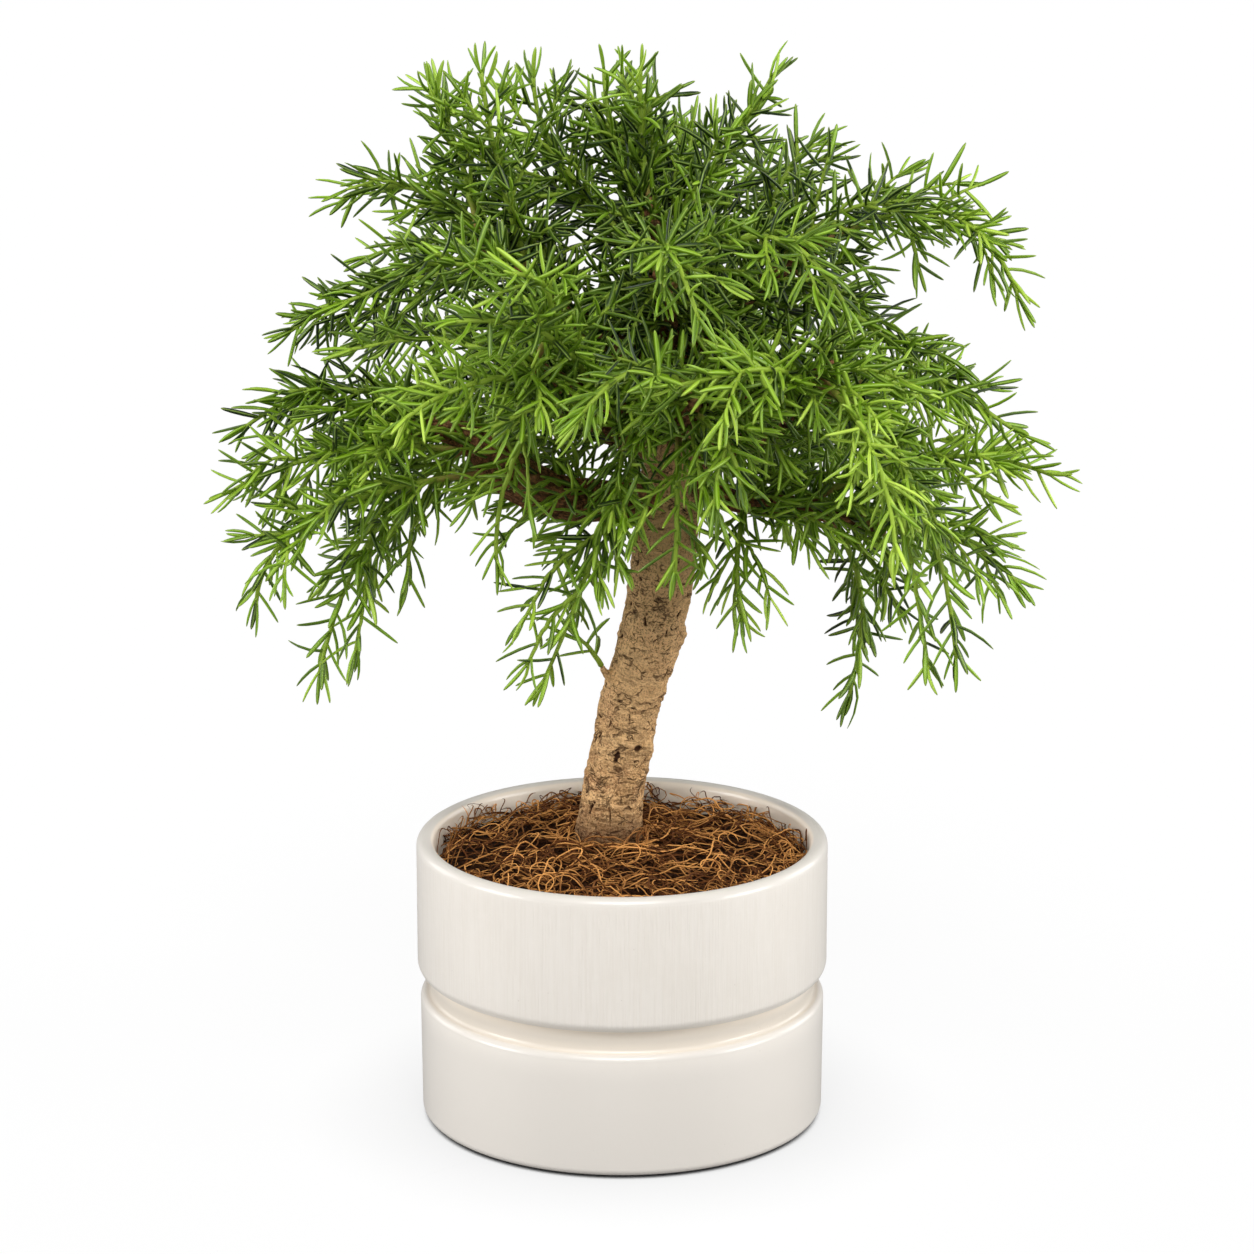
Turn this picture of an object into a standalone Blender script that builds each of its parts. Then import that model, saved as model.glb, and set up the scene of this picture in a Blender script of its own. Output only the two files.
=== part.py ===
"""Araucaria bonsai in a white banded ceramic pot.

A turned stoneware pot with two bands and a groove between them stands on a low foot. It has three drain
holes under squares of drain mesh, and holds potting soil with a mat of coir on top. One woody piece, the
trunk with its roots and limbs, is planted in the soil, and every leafy shoot grows from one of its limbs.

The origin is the centre of the pot's foot, on the surface that the pot stands on. +Z is up and -Y is the
plant's front.
"""

import math

import bmesh
import bpy
from mathutils import Vector
from mathutils.bvhtree import BVHTree

MM = 0.001
GAP = 0.3 * MM  # left between two pieces that touch
BURIAL_GAP = 0.36 * MM  # round the buried wood's corners, so that its flats keep the gap

# Pot
TURNED_STEPS = 40
POT_HEIGHT = 126 * MM
RIM_RADIUS = 90 * MM  # the upper band's outside
MOUTH_RADIUS = 82.6 * MM
RIM_ROUND = 3.2 * MM
UPPER_BAND_BOTTOM = 68 * MM
UPPER_BAND_ROUND = 5 * MM
GROOVE_RADIUS = 84 * MM
LOWER_BAND_TOP = 59.5 * MM
LOWER_BAND_RADIUS = 88.8 * MM
LOWER_BAND_ROUND = 4.5 * MM
HEEL_RADIUS = 88.3 * MM  # the lower band's outside, just above its rounded heel
HEEL_ROUND = 3.5 * MM
FOOT_RADIUS = 82.5 * MM
FOOT_HEIGHT = 1 * MM
INSIDE_RADIUS = 76.5 * MM
INSIDE_ROUND = 8 * MM
FLOOR_THICKNESS = 8 * MM
DRAIN_HOLES = 3
DRAIN_RADIUS = 6.5 * MM
DRAIN_CIRCLE = 38 * MM
MESH_SIDE = 21 * MM
MESH_CELLS = 3
MESH_BAR = 1.1 * MM
MESH_THICKNESS = 1 * MM

# Fill
SOIL_TOP = 109 * MM
COIR_EDGE = 116.5 * MM
COIR_CROWN = 120.4 * MM
COIR_RINGS = 4
COIR_LUMP = 0.5 * MM

# Wood: stations as x, y, z and radius, in millimetres, from the foot of each length to its end
WOOD_STEP = 14 * MM
TRUNK_SIDES = 12
LIMB_SIDES = 8
TRUNK = [
    (-8, 12, 64, 5), (-6, 12, 86, 11), (-5, 12, 106, 14.6), (-4.5, 12, 126, 14.2), (-3, 12, 147, 13.9),
    (4, 12, 184, 13.6), (12, 10, 212, 13.6), (18, 8, 247, 13.4), (20, 8, 277, 12.6), (21, 8, 302, 11),
    (20, 8, 327, 9), (18, 8, 352, 7), (15, 8, 378, 5), (12, 8, 402, 3),
]
LIMBS = {
    "left": [(20, 8, 274, 8.5), (0, -2, 269, 8.2), (-25, -8, 274, 7.4), (-48, -8, 288, 6.4), (-66, -4, 304, 5)],
    "right": [(20, 8, 284, 6.5), (50, 2, 276, 5.4), (82, -2, 273, 4.4), (112, -4, 264, 3.4)],
    "front": [(20, 8, 304, 6), (24, -20, 315, 5.2), (28, -44, 324, 4.2), (30, -62, 334, 3.2)],
    "front_right": [(21, 8, 314, 5.6), (45, -16, 322, 4.8), (70, -38, 334, 4), (88, -52, 347, 3)],
    "front_left": [(20, 8, 308, 5.8), (4, -18, 320, 5), (-18, -42, 334, 4), (-36, -58, 348, 3)],
    "back_left": [(20, 9, 294, 6), (-6, 34, 299, 5.2), (-34, 57, 308, 4.2), (-55, 72, 322, 3.2)],
    "back": [(21, 9, 302, 6), (25, 40, 309, 5.2), (22, 74, 317, 4.2), (15, 98, 330, 3.2)],
    "back_right": [(21, 9, 288, 6), (48, 38, 292, 5.2), (78, 62, 298, 4.2), (100, 76, 309, 3.2)],
    "up_left": [(20, 8, 324, 5.8), (-6, 4, 346, 5), (-36, 2, 368, 4), (-60, 2, 390, 3)],
    "up_right": [(20, 8, 330, 5.4), (40, 6, 352, 4.6), (62, 4, 372, 3.8), (82, 2, 386, 3)],
    "up_back": [(19, 8, 340, 5), (21, 30, 359, 4.2), (19, 56, 380, 3)],
    "up_front": [(19, 8, 342, 4.6), (20, -12, 361, 3.8), (15, -34, 382, 2.8)],
}
ROOTS = [
    [(-6, 12, 100, 7), (20, 6, 88, 4.5), (44, -2, 68, 2.6), (54, -8, 46, 1.2)],
    [(-6, 12, 98, 7), (-28, 2, 86, 4.6), (-46, -12, 64, 2.6), (-50, -24, 38, 1.2)],
    [(-6, 12, 96, 7), (0, 36, 84, 4.4), (10, 54, 62, 2.4), (12, 60, 36, 1.2)],
    [(-6, 12, 94, 7), (-4, -14, 78, 4.4), (4, -36, 56, 2.4), (16, -46, 32, 1.2)],
    [(-6, 12, 90, 6), (-30, 30, 74, 4), (-42, 42, 50, 2.2), (-40, 48, 28, 1.2)],
]

# Leafy shoots, under the limb each grows from: how far along that limb it starts (0 to 1), then the point
# that the shoot passes half way and the point where it ends, in millimetres
SHOOT_SIDES = 6
SHOOT_STEP = 12 * MM
SHOOT_FOOT_RADIUS = 2.2 * MM
SHOOT_END_RADIUS = 1.3 * MM
SHOOTS = {
    "leader": [
        (0.93, (-24, 16, 432), (-38, 20, 470)),
        (0.965, (-6, 32, 430), (-19, 44, 457)),
        (1.0, (8, 16, 438), (10, 12, 468)),
        (0.95, (28, 28, 422), (30, 42, 448)),
        (0.94, (40, -18, 438), (74, -42, 464)),
        (0.91, (6, 48, 426), (0, 92, 444)),
    ],
    "up_left": [
        (1.0, (-78, 6, 432), (-96, -5, 454)),
        (0.7, (-62, -10, 424), (-52, -10, 472)),
        (0.86, (-112, 0, 373), (-150, -2, 348)),
        (0.8, (-100, 22, 412), (-130, 24, 390)),
        (0.45, (-58, -40, 390), (-104, -66, 402)),
        (0.5, (-66, 44, 378), (-118, 70, 374)),
    ],
    "up_right": [
        (1.0, (124, 4, 414), (169, -10, 368)),
        (0.84, (138, -8, 348), (181, -20, 308)),
        (0.6, (70, 32, 418), (94, 44, 432)),
        (0.7, (98, -26, 414), (137, -38, 414)),
        (0.42, (86, 50, 368), (140, 78, 360)),
    ],
    "up_front": [
        (1.0, (16, -78, 404), (24, -122, 404)),
        (0.7, (56, -60, 396), (92, -100, 386)),
    ],
    "up_back": [
        (1.0, (14, 98, 410), (4, 144, 412)),
        (0.72, (58, 78, 400), (98, 116, 396)),
        (0.6, (-28, 76, 396), (-76, 112, 390)),
    ],
    "left": [
        (1.0, (-120, -4, 336), (-171, -14, 306)),
        (0.92, (-122, -34, 310), (-171, -46, 293)),
        (0.8, (-118, -50, 286), (-152, -56, 232)),
        (0.72, (-104, -16, 258), (-131, -20, 195)),
        (0.64, (-82, 22, 270), (-90, 26, 238)),
        (0.56, (-50, -36, 270), (-47, -48, 240)),
        (0.3, (-16, -28, 242), (-42, -30, 192)),
    ],
    "right": [
        (0.62, (136, -18, 308), (193, -30, 287)),
        (0.86, (148, -26, 272), (180, -34, 250)),
        (0.74, (106, 12, 226), (98, 18, 170)),
        (0.4, (56, -18, 248), (60, -20, 208)),
    ],
    "front": [
        (1.0, (14, -98, 350), (-8, -134, 338)),
        (0.8, (46, -80, 308), (52, -92, 268)),
        (0.4, (28, -44, 272), (34, -42, 224)),
    ],
    "front_right": [
        (0.9, (104, -84, 320), (112, -106, 250)),
        (0.84, (128, -64, 292), (148, -70, 210)),
        (0.66, (68, -82, 304), (40, -106, 276)),
    ],
    "front_left": [
        (0.62, (-34, -86, 368), (-78, -114, 376)),
        (0.8, (-66, -84, 332), (-94, -108, 312)),
        (1.0, (-40, -88, 394), (-50, -120, 428)),
        (0.45, (-36, -68, 306), (-62, -98, 278)),
    ],
    "back_left": [
        (1.0, (-94, 102, 330), (-132, 126, 310)),
        (0.72, (-92, 62, 302), (-140, 74, 276)),
        (0.55, (-56, 88, 286), (-78, 114, 248)),
    ],
    "back": [
        (1.0, (10, 134, 338), (0, 172, 320)),
        (0.72, (50, 116, 332), (84, 156, 318)),
        (0.62, (-20, 106, 320), (-54, 148, 300)),
        (0.45, (18, 84, 272), (8, 106, 228)),
    ],
    "back_right": [
        (1.0, (134, 86, 312), (164, 92, 290)),
        (0.72, (110, 100, 282), (128, 122, 240)),
        (0.5, (76, 74, 258), (86, 92, 210)),
    ],
}

# Coarse needles on the shoots: every second side face is drawn out to a point
NEEDLE_LENGTH = 15 * MM
NEEDLE_LEAN = math.radians(48)  # from the stem, towards its tip
NEEDLE_CLEARANCE = 1.4 * MM

COLORS = {  # linear colour and roughness
    "pot": ((0.79, 0.75, 0.69), 0.3),
    "drain_mesh": ((0.02, 0.02, 0.02), 0.6),
    "soil": ((0.05, 0.035, 0.025), 0.95),
    "coir": ((0.16, 0.065, 0.02), 0.95),
    "trunk": ((0.41, 0.25, 0.125), 0.85),
    "shoot": ((0.095, 0.16, 0.017), 0.5),
}


def clear_scene():
    for item in list(bpy.data.objects):
        bpy.data.objects.remove(item, do_unlink=True)


def new_collection(name):
    collection = bpy.data.collections.new(name)
    bpy.context.scene.collection.children.link(collection)
    return collection


def material(name):
    """The Principled material for a kind of part, made the first time it is asked for."""
    if name in bpy.data.materials:
        return bpy.data.materials[name]
    color, roughness = COLORS[name]
    made = bpy.data.materials.new(name)
    made.use_nodes = True
    shader = made.node_tree.nodes["Principled BSDF"]
    shader.inputs["Base Color"].default_value = (*color, 1)
    shader.inputs["Roughness"].default_value = roughness
    shader.inputs["Metallic"].default_value = 0
    return made


def new_object(name, mesh, collection, finish=None):
    made = bpy.data.objects.new(name, mesh)
    collection.objects.link(made)
    if finish:
        mesh.materials.append(material(finish))
    return made


def as_cutter(item):
    item.hide_render = True
    item.display_type = "WIRE"
    return item


def add_boolean(item, cutter, operation):
    boolean = item.modifiers.new(cutter.name, "BOOLEAN")
    boolean.operation = operation
    boolean.solver = "EXACT"
    boolean.object = cutter


def arc(center_x, center_z, radius, start, end, steps):
    """Profile points on an arc; the angles are in degrees, from +X towards +Z."""
    angles = [math.radians(start + (end - start) * i / steps) for i in range(steps + 1)]
    return [(center_x + radius * math.cos(a), center_z + radius * math.sin(a)) for a in angles]


def turned(name, profile, collection, finish):
    """A profile of (radius, height) points, from the axis round to the axis, turned about Z."""
    mesh = bpy.data.meshes.new(name)
    edges = [(i, i + 1) for i in range(len(profile) - 1)]
    mesh.from_pydata([(x, 0, z) for x, z in profile], edges, [])
    made = new_object(name, mesh, collection, finish)
    screw = made.modifiers.new("turn", "SCREW")
    screw.steps = screw.render_steps = TURNED_STEPS
    screw.use_merge_vertices = True
    screw.merge_threshold = 0.01 * MM
    screw.use_smooth_shade = True
    return made


def pot_profile():
    """The pot's section, from the middle of its floor up the inside, over the rim and down the outside."""
    upper, lower = UPPER_BAND_ROUND, LOWER_BAND_ROUND
    groove_top = UPPER_BAND_BOTTOM
    inside = INSIDE_RADIUS - INSIDE_ROUND
    points = [(0, FLOOR_THICKNESS)]
    points += arc(inside, FLOOR_THICKNESS + INSIDE_ROUND, INSIDE_ROUND, -90, 0, 3)
    points += [(INSIDE_RADIUS, groove_top)]
    points += arc(MOUTH_RADIUS + RIM_ROUND, POT_HEIGHT - RIM_ROUND, RIM_ROUND, 180, 90, 3)
    points += arc(RIM_RADIUS - RIM_ROUND, POT_HEIGHT - RIM_ROUND, RIM_ROUND, 90, 0, 3)
    points += arc(RIM_RADIUS - upper, groove_top + upper, upper, 0, -90, 3)
    points += [(GROOVE_RADIUS, groove_top - 0.5 * MM), (GROOVE_RADIUS, LOWER_BAND_TOP + 0.5 * MM)]
    points += arc(LOWER_BAND_RADIUS - lower, LOWER_BAND_TOP - lower, lower, 90, 0, 3)
    points += arc(HEEL_RADIUS - HEEL_ROUND, FOOT_HEIGHT + HEEL_ROUND, HEEL_ROUND, 0, -90, 3)
    points += [(FOOT_RADIUS, FOOT_HEIGHT), (FOOT_RADIUS, 0), (0, 0)]
    return points


def drain_places():
    """The middles of the drain holes, spread evenly round the pot's floor."""
    angles = [math.radians(90 + 360 * i / DRAIN_HOLES) for i in range(DRAIN_HOLES)]
    return [(DRAIN_CIRCLE * math.cos(a), DRAIN_CIRCLE * math.sin(a)) for a in angles]


def make_pot(parts, cutters):
    pot = turned("pot", pot_profile(), parts, "pot")
    for number, (x, y) in enumerate(drain_places(), 1):
        drill = bmesh.new()
        bmesh.ops.create_cone(
            drill, cap_ends=True, segments=16, radius1=DRAIN_RADIUS, radius2=DRAIN_RADIUS,
            depth=4 * FLOOR_THICKNESS,
        )
        mesh = bpy.data.meshes.new("drill")
        drill.to_mesh(mesh)
        drill.free()
        cutter = as_cutter(new_object(f"drain_drill_{number}", mesh, cutters))
        cutter.location = (x, y, 0)
        add_boolean(pot, cutter, "DIFFERENCE")
    return pot


def make_drain_meshes(parts):
    """A square of plastic mesh on the pot's floor over each drain hole."""
    work = bmesh.new()
    bmesh.ops.create_grid(work, x_segments=MESH_CELLS, y_segments=MESH_CELLS, size=MESH_SIDE / 2)
    inset = bmesh.ops.inset_individual(work, faces=work.faces[:], thickness=MESH_BAR / 2, use_even_offset=True)
    bars = set(inset["faces"])
    bmesh.ops.delete(work, geom=[face for face in work.faces if face not in bars], context="FACES")
    mesh = bpy.data.meshes.new("drain_mesh")
    work.to_mesh(mesh)
    work.free()
    mesh.materials.append(material("drain_mesh"))
    for number, (x, y) in enumerate(drain_places(), 1):
        made = new_object(f"drain_mesh_{number}", mesh, parts)
        made.location = (x, y, FLOOR_THICKNESS + GAP)
        solidify = made.modifiers.new("thickness", "SOLIDIFY")
        solidify.thickness = MESH_THICKNESS
        solidify.offset = 1


def inside_radius(height):
    """The pot's inside radius at a height between the top of the inside's rounded corner and the rim."""
    taper_top = POT_HEIGHT - RIM_ROUND
    share = max(0, (height - UPPER_BAND_BOTTOM) / (taper_top - UPPER_BAND_BOTTOM))
    return INSIDE_RADIUS + share * (MOUTH_RADIUS - INSIDE_RADIUS)


def make_soil(parts, cutters):
    """The soil, clear of the pot by the gap, with room for the buried wood."""
    bottom = FLOOR_THICKNESS + MESH_THICKNESS + 2 * GAP
    corner = INSIDE_ROUND
    profile = [(0, SOIL_TOP), (inside_radius(SOIL_TOP) - GAP, SOIL_TOP)]
    profile += [(INSIDE_RADIUS - GAP, UPPER_BAND_BOTTOM)]
    profile += arc(INSIDE_RADIUS - GAP - corner, bottom + corner, corner, 0, -90, 3)
    profile += [(0, bottom)]
    soil = turned("soil", profile, parts, "soil")
    for cutter in cutters:
        add_boolean(soil, cutter, "DIFFERENCE")
    return soil


def coir_height(radius, turn):
    """The height of the coir's lumpy top at a distance from the pot's axis and an angle round it."""
    share = radius / inside_radius(COIR_EDGE)
    lump = math.sin(3 * turn + 9 * share) + math.sin(5 * turn - 4 * share)
    return COIR_CROWN + (COIR_EDGE - COIR_CROWN) * share**2 + COIR_LUMP * lump * share * (1 - share)


def make_coir(parts, cutter):
    """The mat of coir on the soil: a shallow dome with low lumps, round the trunk."""
    bottom = SOIL_TOP + GAP
    edge = inside_radius(bottom) - GAP
    profile = [(edge * i / COIR_RINGS, COIR_EDGE) for i in range(COIR_RINGS + 1)] + [(edge, bottom), (0, bottom)]
    coir = turned("coir_mulch", profile, parts, "coir")
    shaped = bmesh.new()
    shaped.from_mesh(evaluated_mesh(coir))
    for vertex in shaped.verts:
        if vertex.co.z > (bottom + COIR_EDGE) / 2:
            turn = math.atan2(vertex.co.y, vertex.co.x)
            vertex.co.z = coir_height(vertex.co.xy.length, turn)
    coir.modifiers.clear()
    shaped.to_mesh(coir.data)
    shaped.free()
    add_boolean(coir, cutter, "DIFFERENCE")
    return coir


def evaluated_mesh(item):
    """A plain mesh of an object as its modifiers leave it."""
    bpy.context.view_layer.update()
    return bpy.data.meshes.new_from_object(item.evaluated_get(bpy.context.evaluated_depsgraph_get()))


def smooth_path(stations, step):
    """Points about a step apart on a smooth curve through the stations, each with its radius as w."""
    knots = [Vector(station) * MM for station in stations]
    knots = [2 * knots[0] - knots[1], *knots, 2 * knots[-1] - knots[-2]]
    path = []
    for a, b, c, d in zip(knots, knots[1:], knots[2:], knots[3:]):
        pieces = max(1, round((c.xyz - b.xyz).length / step))
        for i in range(pieces):
            t = i / pieces
            path.append(
                0.5 * (2 * b + (c - a) * t + (2 * a - 5 * b + 4 * c - d) * t**2 + (3 * b - a - 3 * c + d) * t**3)
            )
    return path + [knots[-2]]


def widened(path, extra):
    """The same path with a larger radius, and longer by as much at both ends."""
    wide = [point + Vector((0, 0, 0, extra)) for point in path]
    for end, inner in ((0, 1), (-1, -2)):
        outward = (path[end].xyz - path[inner].xyz).normalized() * extra
        wide[end] = wide[end] + Vector((*outward, 0))
    return wide


def tube(name, path, sides, collection, finish=None):
    """A closed tube along a path whose points hold the radius as w; a radius of 0 makes a point."""
    curve = bpy.data.curves.new(name, "CURVE")
    curve.dimensions = "3D"
    curve.bevel_depth = 1  # each point's radius is then the tube's, in metres
    curve.bevel_resolution = (sides - 4) // 2
    curve.use_fill_caps = True
    spline = curve.splines.new("POLY")
    spline.points.add(len(path) - 1)
    for point, place in zip(spline.points, path):
        point.co = (*place.xyz, 1)
        point.radius = place.w
    drawn = bpy.data.objects.new("drawn", curve)
    collection.objects.link(drawn)
    mesh = evaluated_mesh(drawn)
    bpy.data.objects.remove(drawn)
    work = bmesh.new()
    work.from_mesh(mesh)
    bmesh.ops.remove_doubles(work, verts=work.verts[:], dist=0.01 * MM)
    work.to_mesh(mesh)
    work.free()
    mesh.shade_smooth()
    return new_object(name, mesh, collection, finish)


def make_trunk(parts, cutters, trunk_path, limb_paths, root_paths):
    """The woody piece: the trunk up to its leader, with every limb and root joined to it."""
    trunk = tube("trunk", trunk_path, TRUNK_SIDES, parts, "trunk")
    branches = [(f"limb_{name}", path, LIMB_SIDES) for name, path in limb_paths.items()]
    branches += [(f"root_{number}", path, SHOOT_SIDES) for number, path in enumerate(root_paths, 1)]
    for name, path, sides in branches:
        add_boolean(trunk, as_cutter(tube(name, path, sides, cutters)), "UNION")
    return trunk


def make_burial_cutters(cutters, trunk_path, root_paths):
    """The room that the buried wood takes up: the foot of the trunk first, then the roots."""
    foot = [point for point in trunk_path if point.z < POT_HEIGHT + 2 * WOOD_STEP]
    made = [tube("room_for_trunk", widened(foot, BURIAL_GAP), TRUNK_SIDES, cutters)]
    for number, path in enumerate(root_paths, 1):
        made.append(tube(f"room_for_root_{number}", widened(path, BURIAL_GAP), SHOOT_SIDES, cutters))
    return [as_cutter(cutter) for cutter in made]


def along(path, share):
    """The point at a share of a path's length."""
    lengths = [(b.xyz - a.xyz).length for a, b in zip(path, path[1:])]
    left = share * sum(lengths)
    for start, end, length in zip(path, path[1:], lengths):
        if left <= length:
            return start.xyz.lerp(end.xyz, left / length)
        left -= length
    return path[-1].xyz


def ring_points(center, direction, radius):
    """The centre of a disc, and points at its edge and half way out."""
    side = direction.orthogonal().normalized()
    other = direction.cross(side)
    angles = [math.tau * i / 12 for i in range(12)]
    spokes = [side * math.cos(a) + other * math.sin(a) for a in angles]
    return [center] + [center + spoke * radius * reach for spoke in spokes for reach in (0.5, 1)]


def is_clear(point, wood):
    """Whether a point is outside the wood by more than the gap."""
    nearest, normal, _, distance = wood.find_nearest(point)
    return (point - nearest).dot(normal) > 0 and distance > GAP * 1.1


def shoot_path(start, middle, end, wood):
    """A shoot's centreline with its radii: an arch from just outside the limb's skin to a point."""
    bend = 2 * middle - (start + end) / 2
    fine = 400
    arch = [
        start * (1 - t) ** 2 + bend * 2 * t * (1 - t) + end * t**2
        for t in (i / fine for i in range(fine + 1))
    ]
    first = next(
        i for i in range(fine)
        if all(
            is_clear(point, wood)
            for point in ring_points(arch[i], (arch[i + 1] - arch[i]).normalized(), SHOOT_FOOT_RADIUS)
        )
    )
    arch = [Vector((*point, 0)) for point in arch[first:]]
    length = sum((b - a).length for a, b in zip(arch, arch[1:]))
    rings = max(4, round(length / SHOOT_STEP))
    path = []
    for i in range(rings + 1):
        share = i / rings
        radius = SHOOT_FOOT_RADIUS + (SHOOT_END_RADIUS - SHOOT_FOOT_RADIUS) * share
        path.append(Vector((*along(arch, share), radius if i < rings else 0)))
    return path


def needle_faces(work):
    """Every second side face, so that no two of them share an edge."""
    chosen = set()
    for face in work.faces:
        if len(face.verts) == 4:
            neighbours = {other for edge in face.edges for other in edge.link_faces}
            if not neighbours & chosen:
                chosen.add(face)
    return sorted(chosen, key=lambda face: face.index)


def nearest_share(path, point):
    """The index of the path's stretch nearest to a point, and that stretch's direction."""
    middles = [(a.xyz + b.xyz) / 2 for a, b in zip(path, path[1:])]
    index = min(range(len(middles)), key=lambda i: (middles[i] - point).length)
    return index, (path[index + 1].xyz - path[index].xyz).normalized()


def draw_out_needles(shoot, path, others):
    """Coarse flat needles: side faces of the stem drawn out to points wherever there is room for one."""
    work = bmesh.new()
    work.from_mesh(shoot.data)
    last = len(path) - 2
    plans = []
    for face in needle_faces(work):
        center = face.calc_center_median()
        index, forward = nearest_share(path, center)
        length = NEEDLE_LENGTH * (0.75 if index in (0, last) else 1)
        lean = forward * math.cos(NEEDLE_LEAN) + face.normal * math.sin(NEEDLE_LEAN)
        reach = [center + lean * length * share for share in (0.3, 0.5, 0.7, 0.85, 1)]
        if all(others.find_nearest(point)[3] > NEEDLE_CLEARANCE for point in reach):
            plans.append((face, reach[-1]))
    for face, tip in plans:
        bmesh.ops.poke(work, faces=[face])["verts"][0].co = tip
    bmesh.ops.recalc_face_normals(work, faces=work.faces[:])
    work.to_mesh(shoot.data)
    work.free()
    shoot.data.set_sharp_from_angle(angle=math.radians(40))


def combined_tree(items):
    """One search tree of several objects' faces."""
    points, faces = [], []
    for item in items:
        mesh = evaluated_mesh(item)
        start = len(points)
        points += [vertex.co.copy() for vertex in mesh.vertices]
        faces += [[start + index for index in face.vertices] for face in mesh.polygons]
        bpy.data.meshes.remove(mesh)
    return BVHTree.FromPolygons(points, faces)


def make_shoots(parts, trunk, limb_paths, rest):
    """All the leafy shoots: the stems first, then their needles where they keep clear of each other."""
    wood = combined_tree([trunk])
    shoots = []
    for limb, rows in SHOOTS.items():
        for number, (share, middle, end) in enumerate(rows, 1):
            start = along(limb_paths[limb], share)
            path = shoot_path(start, Vector(middle) * MM, Vector(end) * MM, wood)
            shoots.append((tube(f"shoot_{limb}_{number}", path, SHOOT_SIDES, parts, "shoot"), path))
    for shoot, path in shoots:
        others = combined_tree([trunk, *rest, *(other for other, _ in shoots if other is not shoot)])
        draw_out_needles(shoot, path, others)


def main():
    clear_scene()
    parts = new_collection("araucaria_bonsai")
    cutters = new_collection("cutters")
    trunk_path = smooth_path(TRUNK, WOOD_STEP)
    limb_paths = {name: smooth_path(stations, WOOD_STEP) for name, stations in LIMBS.items()}
    root_paths = [smooth_path(stations, WOOD_STEP) for stations in ROOTS]
    trunk = make_trunk(parts, cutters, trunk_path, limb_paths, root_paths)
    rooms = make_burial_cutters(cutters, trunk_path, root_paths)
    pot = make_pot(parts, cutters)
    make_drain_meshes(parts)
    make_soil(parts, rooms)
    coir = make_coir(parts, rooms[0])
    make_shoots(parts, trunk, {"leader": trunk_path, **limb_paths}, [pot, coir])


main()
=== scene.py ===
"""Araucaria bonsai in a white banded ceramic pot: the finished looks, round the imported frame.

Laid out as an add-on and run as a script. Each piece or group of like pieces has its own operator, and the
sizes and colours that a user would change are in the property groups. Lengths in the tables are in
millimetres; +Z is up, -Y is the plant's front and the pot's foot stands on z = 0.
"""

import itertools
import math

import bmesh
import bpy
import numpy as np
from bpy.props import FloatProperty, FloatVectorProperty, IntProperty, PointerProperty
from bpy.types import Operator, Panel, PropertyGroup
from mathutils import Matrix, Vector


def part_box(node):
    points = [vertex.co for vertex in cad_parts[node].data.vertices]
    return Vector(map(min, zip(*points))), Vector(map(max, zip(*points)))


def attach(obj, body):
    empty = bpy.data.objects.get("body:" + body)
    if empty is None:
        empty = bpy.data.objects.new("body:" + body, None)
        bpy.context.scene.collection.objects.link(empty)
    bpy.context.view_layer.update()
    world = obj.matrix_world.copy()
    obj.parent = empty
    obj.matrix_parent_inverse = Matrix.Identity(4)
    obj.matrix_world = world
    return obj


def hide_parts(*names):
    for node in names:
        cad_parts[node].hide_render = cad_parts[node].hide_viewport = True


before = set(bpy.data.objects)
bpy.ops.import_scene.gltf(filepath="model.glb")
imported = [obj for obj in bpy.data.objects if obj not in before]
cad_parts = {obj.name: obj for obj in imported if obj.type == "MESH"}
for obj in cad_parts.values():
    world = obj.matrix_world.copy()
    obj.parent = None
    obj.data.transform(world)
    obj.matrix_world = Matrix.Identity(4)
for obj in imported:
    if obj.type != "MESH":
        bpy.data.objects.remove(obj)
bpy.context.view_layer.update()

bl_info = {
    "name": "Potted Araucaria Bonsai",
    "version": (1, 0, 0),
    "blender": (4, 5, 0),
    "location": "View3D > Sidebar > Bonsai",
    "description": "Builds a potted araucaria bonsai: the pot, its fill, the wood and the leafy shoots",
    "category": "Add Mesh",
}

MM = 0.001
BODY = "root"
GOLDEN_TURN = math.pi * (3 - math.sqrt(5))

# Pot: the section's corners as (radius, height) with the radius of each corner's rounding, up the inside,
# over the rim and down the outside
POT_STEPS = 192
POT_CORNERS = [
    (76.5, 8, 8), (76.5, 68, 14), (82.6, 125.99, 3.1), (90, 126, 3.6), (90, 65.8, 5), (84, 65.8, 2.0),
    (84, 55.6, 1.6), (88.8, 55.6, 2.6), (88.3, 1, 3.4), (82.5, 1, 0), (82.5, 0, 0.35), (74, 0, 0.35),
    (74, 0.7, 0.3),
]
POT_FLOOR = 8
POT_UNDERSIDE = 0.7
DRAIN_PLACES = [(0, 38), (-32.909, -19), (32.909, -19)]
DRAIN_RADIUS = 6.5
ROUND_SLACK = 0.02  # how far off its corner a point of a ring may be
MESH_SIDE = 21
MESH_CELLS = 8

# Coir
COIR_BOTTOM = 109.3
COIR_EDGE = 116.5
COIR_CROWN = 120.4
COIR_REACH = 81.4  # how far from the pot's axis it goes
BED_RINGS = 38
BED_RING_GAP = 2.1
FIBRE_STEP = 2.6
COIR_SEED = 11
# How fibres lie on the bed: the limits of the radius, as a share of a thick fibre's, of the length, of the
# bend from step to step in radians, of the height above the bed, and of how much higher the middle bows
TANGLE_LIE = ((0.5, 0.95), (14, 40), (0.15, 0.5), (-2.0, 0.2), (0, 1.8))
STRAND_LIE = ((0.75, 1.15), (20, 50), (0.12, 0.4), (0.2, 2.6), (0.8, 7.0))
RISERS = 110
COLLARS = 40
STEM_FOOT = (-5.8, 12, 16.2)  # x, y and radius of the trunk where it leaves the coir

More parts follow.
